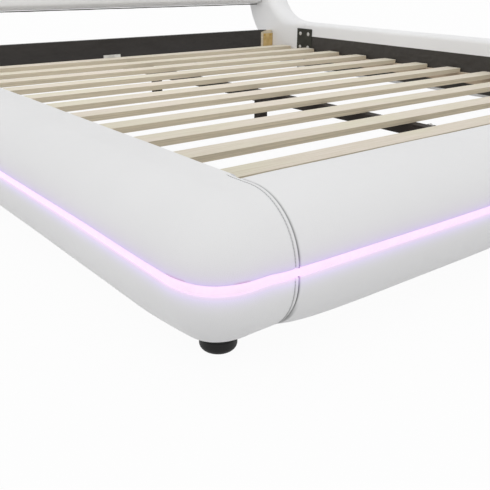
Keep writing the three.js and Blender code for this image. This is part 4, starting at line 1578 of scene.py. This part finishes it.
@dataclass
class Headboard(Assembly):
    """Two padded panels, one above the other, leaning between the posts, with a cloth hem under the lower one."""

    low: Pair = (2140.0, 326.0)
    high: Pair = (2272.0, 778.0)
    thickness: float = 62.0
    radius: float = 30.0
    rear_radius: float = 8.0
    crown: float = 9.0
    gap: float = 1.0
    end_radius: float = 6.5
    half: float = RAIL.well_half - RAIL.gap

    def __post_init__(self) -> None:
        """Works out the directions up the front line and back from it."""
        rise = np.array(self.high) - np.array(self.low)
        self.up = rise / np.linalg.norm(rise)
        self.back = np.array([self.up[1], -self.up[0]])

    def ring(self, loop: np.ndarray, x: float) -> np.ndarray:
        """A loop of depths and runs up the front line, at a place across the bed."""
        flat = np.array(self.low) + self.up * loop[:, 1:] + self.back * loop[:, :1]
        return np.column_stack([np.full(len(loop), x), flat])

    def panel(self, start: float, end: float) -> Shell:
        """Builds one panel.

        Args:
            start: run of its lower edge up the front line.
            end: run of its upper edge.

        Returns:
            The closed shell.
        """
        reach, rear = self.radius, self.rear_radius
        shares = np.linspace(0, 1, 26)[1:-1]
        runs = start + reach + (end - start - 2 * reach) * shares
        loop = np.concatenate(
            [
                arc((reach, start + reach), (reach, reach), -90, -180, 10),
                np.stack([-self.crown * np.sin(math.pi * shares), runs], axis=1),
                arc((reach, end - reach), (reach, reach), 180, 90, 10),
                arc((self.thickness - rear, end - rear), (rear, rear), 90, 0, 5),
                arc((self.thickness - rear, start + rear), (rear, rear), 0, -90, 5),
            ]
        )
        middle = np.array([self.thickness / 2, (start + end) / 2])
        insets = [0.0, 0.3, 0.8, 1.6, 2.8, 4.5, 6.5, self.end_radius, 16.0, 26.0]
        stations = [self.half - inset for inset in insets]
        rows = []
        for x in (*stations, *np.linspace(self.half - 40, 40 - self.half, 90), *(-x for x in reversed(stations))):
            drop = rounding(np.array([self.half - abs(x)]), self.end_radius)[0]
            rows.append(self.ring(middle + (loop - middle) * (1 - self.pinch(drop)), x))
        return Shell().tube(rows, partial(swell, depth=0.7))

    def pinch(self, drop: float) -> np.ndarray:
        """Share by which the ends of a panel draw in, across its depth and its run."""
        return np.array([min(drop * 0.9 / (self.thickness / 2), 0.72), drop * 0.9 / 118.0])

    def hem(self) -> Shell:
        """Builds the folded edge of the black backing cloth under the lower panel.

        Returns:
            The closed shell.
        """
        fold, lay = (self.thickness - depth for depth in (6.0, 3.4))
        loop = np.concatenate([arc((fold, -2.1), (1.8, 1.8), 90, 270, 8), arc((lay, -2.1), (1.8, 1.8), -90, 90, 8)])
        half = RAIL.well_half - 4.0
        rows = []
        for x in np.linspace(half, -half, 121):
            wave = np.array([0.0, 0.3 * math.sin(x / 37.0) + 0.2 * math.sin(x / 11.0 + 1.0)])
            rows.append(self.ring(loop + wave * (loop[:, 1:] < -1.6), x))
        return Shell().tube(rows)

    def held(self, places: np.ndarray) -> np.ndarray:
        """How firmly a panel's board and neighbours hold its points.

        Args:
            places: the points in millimetres.

        Returns:
            A share for each point, from nought, free, to one.
        """
        y, z = places[:, 1] - self.low[0], places[:, 2] - self.low[1]
        depth, run = (y * way[0] + z * way[1] for way in (self.back, self.up))
        edge = np.minimum(run - run.min(), run.max() - run)
        side = self.half - np.abs(places[:, 0])
        return np.clip(np.maximum(ease(depth, 16, 30), 1 - ease(np.minimum(edge, side), 3, 16)), 0, 1)

    def build(self) -> None:
        """Makes both panels and the hem."""
        run = math.dist(self.low, self.high)
        for name, start, end in (("lower", 0.0, run / 2 - self.gap / 2), ("upper", run / 2 + self.gap / 2, run)):
            shell = self.panel(start, end)
            pad = self.shop.piece(f"headboard_{name}_leather", shell, Look.LEATHER, f"headboard_{name}_pad", fill=0.85)
            Filling().inflate(pad, self.held)
        self.shop.piece("headboard_hem", self.hem(), Look.CLOTH)


# Feet and fittings


@dataclass(frozen=True)
class BoltHead:
    """A button head with a six-sided socket, on a washer."""

    radius: float = 6.2
    height: float = 3.6
    washer: float = 8.5
    washer_sheet: float = 1.2
    socket: float = 2.5
    socket_depth: float = 2.0
    edge: float = 0.3

    def add(self, shell: Shell, centre: Place, axis: Place) -> None:
        """Adds the head to a shell.

        Args:
            shell: the shell.
            centre: where it sits.
            axis: the way it faces.
        """
        base, rim, edge = self.washer_sheet, self.washer, self.edge
        washer = [(rim - edge, 0.0), (rim, edge), (rim, base - edge), (rim - 0.4, base)]
        dome = arc((0, base), (self.radius, self.height), 4, 66, 7)
        crown = float(dome[-1, 1])
        head = [(self.radius, base), *map(tuple, dome), (self.socket + edge, crown + 0.12)]
        head += [(self.socket, crown), (self.socket, crown - self.socket_depth)]
        shell.tube(turned(centre, axis, washer))
        shell.tube(turned(centre, axis, head, socket=3))


@dataclass
class Feet(Assembly):
    """Round moulded feet under the rails, whose tops follow the leather."""

    rail: SideRail
    radius: float = 26.25
    rise: float = 10.5
    edge: float = 10.0
    inset: float = 44.0

    def rings(self) -> list[Pair]:
        """The rings of one foot, from the middle of its underside to its top.

        Returns:
            Radius and height of each ring.
        """
        radius, top = self.radius, RAIL.bottom + self.rise
        edge = arc((radius - self.edge, self.edge), (self.edge, self.edge), -90, 0, 12)
        recess = [(3.0, 1.2), (9.0, 1.2), (9.8, 0.3), (10.6, 0.0)]
        side = [(radius, 14.0), (radius, 19.0), (radius - 0.5, 19.4), (radius - 0.5, 20.6)]
        side += [(radius, height) for height in (21.0, 25.0, 30.0, top)]
        return [*recess, *map(tuple, edge), *side, *((inner, top) for inner in (22.0, 18.0, 13.0, 8.0, 3.0))]

    def under_side(self, x: float, y: float) -> float:
        """Height of a side rail's underside at a place.

        Args:
            x: the place across the bed, without its sign.
            y: the place along the bed.

        Returns:
            The height from the floor.
        """
        inner = float(self.rail.underside(np.array([min(x, RAIL.turn_x)]), y)[0])
        out = max(x - RAIL.turn_x, 0.0)
        rounded = RAIL.lower_roll - self.rail.lower(y) * math.sqrt(1 - min(out / RAIL.reach, 1.0) ** 2)
        if out == 0:
            return RAIL.bottom + inner
        return RAIL.bottom + (max(min(inner, rounded + 4), rounded) if out < 15 else rounded)

    def under_post(self, x: float, y: float) -> float:
        """Height of a post's underside at a place: the rail's away from the corner, rising from the joint."""
        return self.under_side(x, 500.0) + max(0.0, (y - RAIL.joint) / 151.9) * 6.4

    def under_foot(self, _: float, y: float) -> float:
        """Height of the foot rail's underside at a place along the bed.

        Args:
            _: the place across the bed, which makes no difference.
            y: the place along the bed.

        Returns:
            The height from the floor.
        """
        flat = RAIL.foot_thickness - RAIL.reach
        out = max(-y - flat, 0.0) / RAIL.reach
        near = max(0.0, (-y - RAIL.flat_reach) / (flat - RAIL.flat_reach)) * (RAIL.lower_roll - RAIL.foot_lower_roll)
        rounded = RAIL.lower_roll - RAIL.foot_lower_roll * math.sqrt(1 - min(out, 1) ** 2)
        return RAIL.bottom + (near if out == 0 else rounded)

    def build(self) -> None:
        """Makes the seven feet."""
        places = [("front_foot", 0.0, -62.0, self.under_foot)]
        for side in Side:
            x = side.value * (RAIL.well_half + self.inset)
            places += [
                (f"corner_foot_{side.label}", x, -13.0, self.under_side),
                (f"middle_foot_{side.label}", x, RAIL.well_length / 2, self.under_side),
                (f"post_foot_{side.label}", x, RAIL.joint + 53.0, self.under_post),
            ]
        for node, x, y, under in places:
            shell = Shell().tube(turned((x, y, 0.0), (0, 0, 1), self.rings(), 72))
            limit = np.array([under(abs(point[0]), point[1]) for point in shell.points]) - RAIL.gap
            shell.points[:, 2] = np.minimum(shell.points[:, 2], limit)
            self.shop.piece(node.replace("foot", "glide_foot"), shell, Look.PLASTIC, node, sharp=30)


@dataclass
class Fittings(Assembly):
    """Bolts and screws on the plates, the legs and the hangers, and the loose ends of the cross rail's sleeve."""

    sheet_face: float = 3.35
    end_plate_face: float = 2068.95
    small: BoltHead = BoltHead(4.6, 2.6, 6.4, 0.9, 1.8, 1.5)
    ear_bolt: BoltHead = BoltHead(5.2, 3.2, 7.5)
    flap_start: float = 828.8
    flap_length: float = 35.0
    flap_top: float = 193.0
    flap_depth: float = 21.6
    flap_sheet: float = 1.45
    flap_bend: float = 1.8

    def flap(self, sign: int) -> Shell:
        """Builds the loose end of the sleeve, which lies on the bare wood and hangs a little down its front.

        Args:
            sign: the side of the bed, as a sign.

        Returns:
            The flap.
        """
        front, top, sheet, bend = RAIL.well_length, self.flap_top, self.flap_sheet, self.flap_bend
        rows = []
        for share in np.linspace(0.0, 1.0, 12):
            low = top - 2.4 - 7.5 * (1 - share) ** 1.6 - 0.3 * math.sin(9 * share)
            rear = front + self.flap_depth - 9.0 * share**2.5
            over = arc((front + bend, top - bend), (bend, bend), 90, 180, 5)
            inner = [(front, low), (front + sheet, low), (front + sheet, top - sheet), (rear, top - sheet)]
            loop = np.concatenate([[(rear, top)], over, inner])
            x = self.flap_start + self.flap_length * share + 1.5 * share * np.sin(loop[:, 0] / 5.0)
            rows.append(np.column_stack([sign * x, loop]))
        return Shell().tube(rows)

    def bolts(self, name: str, head: BoltHead, places: Iterable[tuple], look: Look = Look.BRIGHT_STEEL) -> None:
        """Makes bolts as one piece.

        Args:
            name: the piece's name.
            head: the bolts' head.
            places: where each sits and the way it faces.
            look: their finish.
        """
        shell = Shell()
        for centre, axis in places:
            head.add(shell, centre, axis)
        self.shop.piece(name, shell, look)

    def build(self) -> None:
        """Makes the bolts of each plate and both flaps."""
        thick = self.sheet_face
        for side in Side:
            sign, inner = side.value, side.value * (RAIL.well_half - thick)
            inward, headward, footward = (-sign, 0, 0), (0, 1, 0), (0, -1, 0)
            places = [((inner, RAIL.joint + away, z), inward) for away in (-31, 23) for z in (128.0, 189.0)]
            self.bolts(f"joint_plate_bolts_{side.label}", BoltHead(), places)
            places = [((sign * x, self.end_plate_face, z), footward) for x in (853.0, 888.0) for z in (169.0, 108.0)]
            self.bolts(f"end_plate_screws_{side.label}", self.small, places, Look.ZINC)
            self.shop.piece(f"sleeve_flap_{side.label}", self.flap(sign), Look.SLEEVE)
            places = []
            for away in (24.0, 58.0):
                places.append(((inner, away, 148.0), inward))
                places.append(((sign * (RAIL.well_half - away), thick, 148.0), headward))
            self.bolts(f"foot_angle_screws_{side.label}", self.small, places)
        self.bolts("leg_ear_bolts", self.ear_bolt, [((33.0, y, 107.45), (0, 0, 1)) for y in (407.0, 1056.0, 1705.0)])
        for name, y, facing in (("foot", thick, 1), ("head", RAIL.well_length - thick, -1)):
            self.bolts(f"hanger_screws_{name}", self.small, [((x, y, 96.0), (0, facing, 0)) for x in (-29.0, 29.0)])


@dataclass
class Deck(Assembly):
    """Slats, ledgers, beam, legs, linings and plates: CAD nodes that keep their own shape."""

    looks: tuple[tuple[tuple[str, ...], Look, float], ...] = (
        # the first slat takes the finish with painted shadow on its standing faces
        (("slat_01",), Look.FIRST_SLAT, 1.6),
        (("slat_",), Look.SLAT, 1.6),
        (("side_ledger", "post_ledger"), Look.LEDGER, 1.2),
        (("head_rail_board",), Look.SLAT, 0.8),
        (("foot_lining", "side_lining", "headboard_back"), Look.CLOTH, 0.0),
        (("head_rail_sleeve",), Look.SLEEVE, 0.5),
        (("foot_board", "side_board", "post_board"), Look.PLY, 0.0),
        (("centre_beam", "beam_leg"), Look.BLACK_STEEL, 0.9),
        (("joint_plate", "foot_angle"), Look.PLATE_STEEL, 0.7),
        (("beam_hanger",), Look.PALE_STEEL, 0.6),
        (("head_end_plate",), Look.ZINC, 0.6),
        (("light_controller", "leg_glide"), Look.PLASTIC, 0.6),
    )

    def build(self) -> None:
        """Gives each node the finish and the edge rounding of the first line that its name begins with."""
        for name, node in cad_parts.items():
            look, bevel = next((line[1:] for line in self.looks if name.startswith(line[0])), (None, 0.0))
            if look:
                self.shop.dress(node, look, bevel)


# Studio


@dataclass
class Studio(Assembly):
    """Floor, light and camera, in metres."""

    camera_place: Rgb = (-1.42583, -1.797028, 0.48148)
    right: Rgb = (0.78714541, -0.61672101, 0.00756983)
    down: Rgb = (-0.22625091, -0.30014726, -0.92667262)
    forward: Rgb = (0.57377054, 0.72771342, -0.37579322)
    lens: float = 50.33
    floor_size: float = 60.0
    sky: float = 0.945
    lamps: tuple[tuple, ...] = (
        ("side_softbox", (-5.0, -0.5, 0.9), (0.0, -0.2, 0.2), 3.0, 21.0),
        ("front_softbox", (0.3, -5.5, 1.2), (0.0, 0.0, 0.2), 3.0, 17.0),
        ("head_softbox", (-0.5, 0.4, 1.25), (0.75, 1.1, 0.22), 1.3, 4.4),
    )

    def camera(self) -> None:
        """Places the camera."""
        data = bpy.data.cameras.new("studio_camera")
        data.lens, data.sensor_width, data.clip_end = self.lens, 36.0, 100.0
        camera = shown("studio_camera", data)
        axes = (Vector(self.right), -Vector(self.down), -Vector(self.forward), Vector(self.camera_place))
        camera.matrix_world = Matrix([[axis[row] for axis in axes] for row in range(3)] + [[0, 0, 0, 1]])
        bpy.context.scene.camera = camera

    def floor(self) -> None:
        """Lays the floor."""
        half = self.floor_size / 2
        mesh = bpy.data.meshes.new("studio_floor")
        corners = [(-half, -half, 0), (half, -half, 0), (half, half, 0), (-half, half, 0)]
        mesh.from_pydata(corners, [], [(0, 1, 2, 3)])
        mesh.materials.append(self.shop.materials[Look.FLOOR])
        shown("studio_floor", mesh)

    def light(self) -> None:
        """Sets the sky and three weak soft lamps, beside the bed, before it and over its head."""
        world = bpy.data.worlds.new("studio_sky")
        sheet = NodeSheet(world)
        seen, lit = (sheet.node("Background", {"Color": WHITE, "Strength": power}) for power in (1.0, self.sky))
        share = sheet.node("LightPath", {}).outputs["Is Camera Ray"]
        mixed = sheet.node("MixShader", {0: share, 1: lit.outputs[0], 2: seen.outputs[0]})
        sheet.node("OutputWorld", {0: mixed.outputs[0]})
        bpy.context.scene.world = world
        for name, stand, target, size, power in self.lamps:
            data = bpy.data.lights.new(name, "AREA")
            data.energy, data.size = power, size
            facing = (Vector(target) - Vector(stand)).to_track_quat("-Z", "Y")
            shown(name, data).matrix_world = Matrix.Translation(stand) @ facing.to_matrix().to_4x4()

    def build(self) -> None:
        """Sets up the studio."""
        self.camera()
        self.floor()
        self.light()
        bpy.context.scene.view_settings.view_transform = "Standard"


def main() -> None:
    """Builds the studio and every sub-assembly."""
    logging.basicConfig(level=logging.INFO, format="%(name)s: %(message)s")
    shop = Workshop()
    seam = SeamStyle()
    rails = [SideRail(shop, side, seam) for side in Side]
    posts = [HeadPost(shop, side) for side in Side]
    covers = [*rails, FootRail(shop, seam), LightStrip(shop), *posts, Headboard(shop)]
    for part in (Studio(shop), *covers, Feet(shop, rails[-1]), Fittings(shop), Deck(shop)):
        part.build()
    for piece in shop.made:
        log.info("%s: %d faces", piece.name, len(piece.data.polygons))


if __name__ == "__main__":
    main()
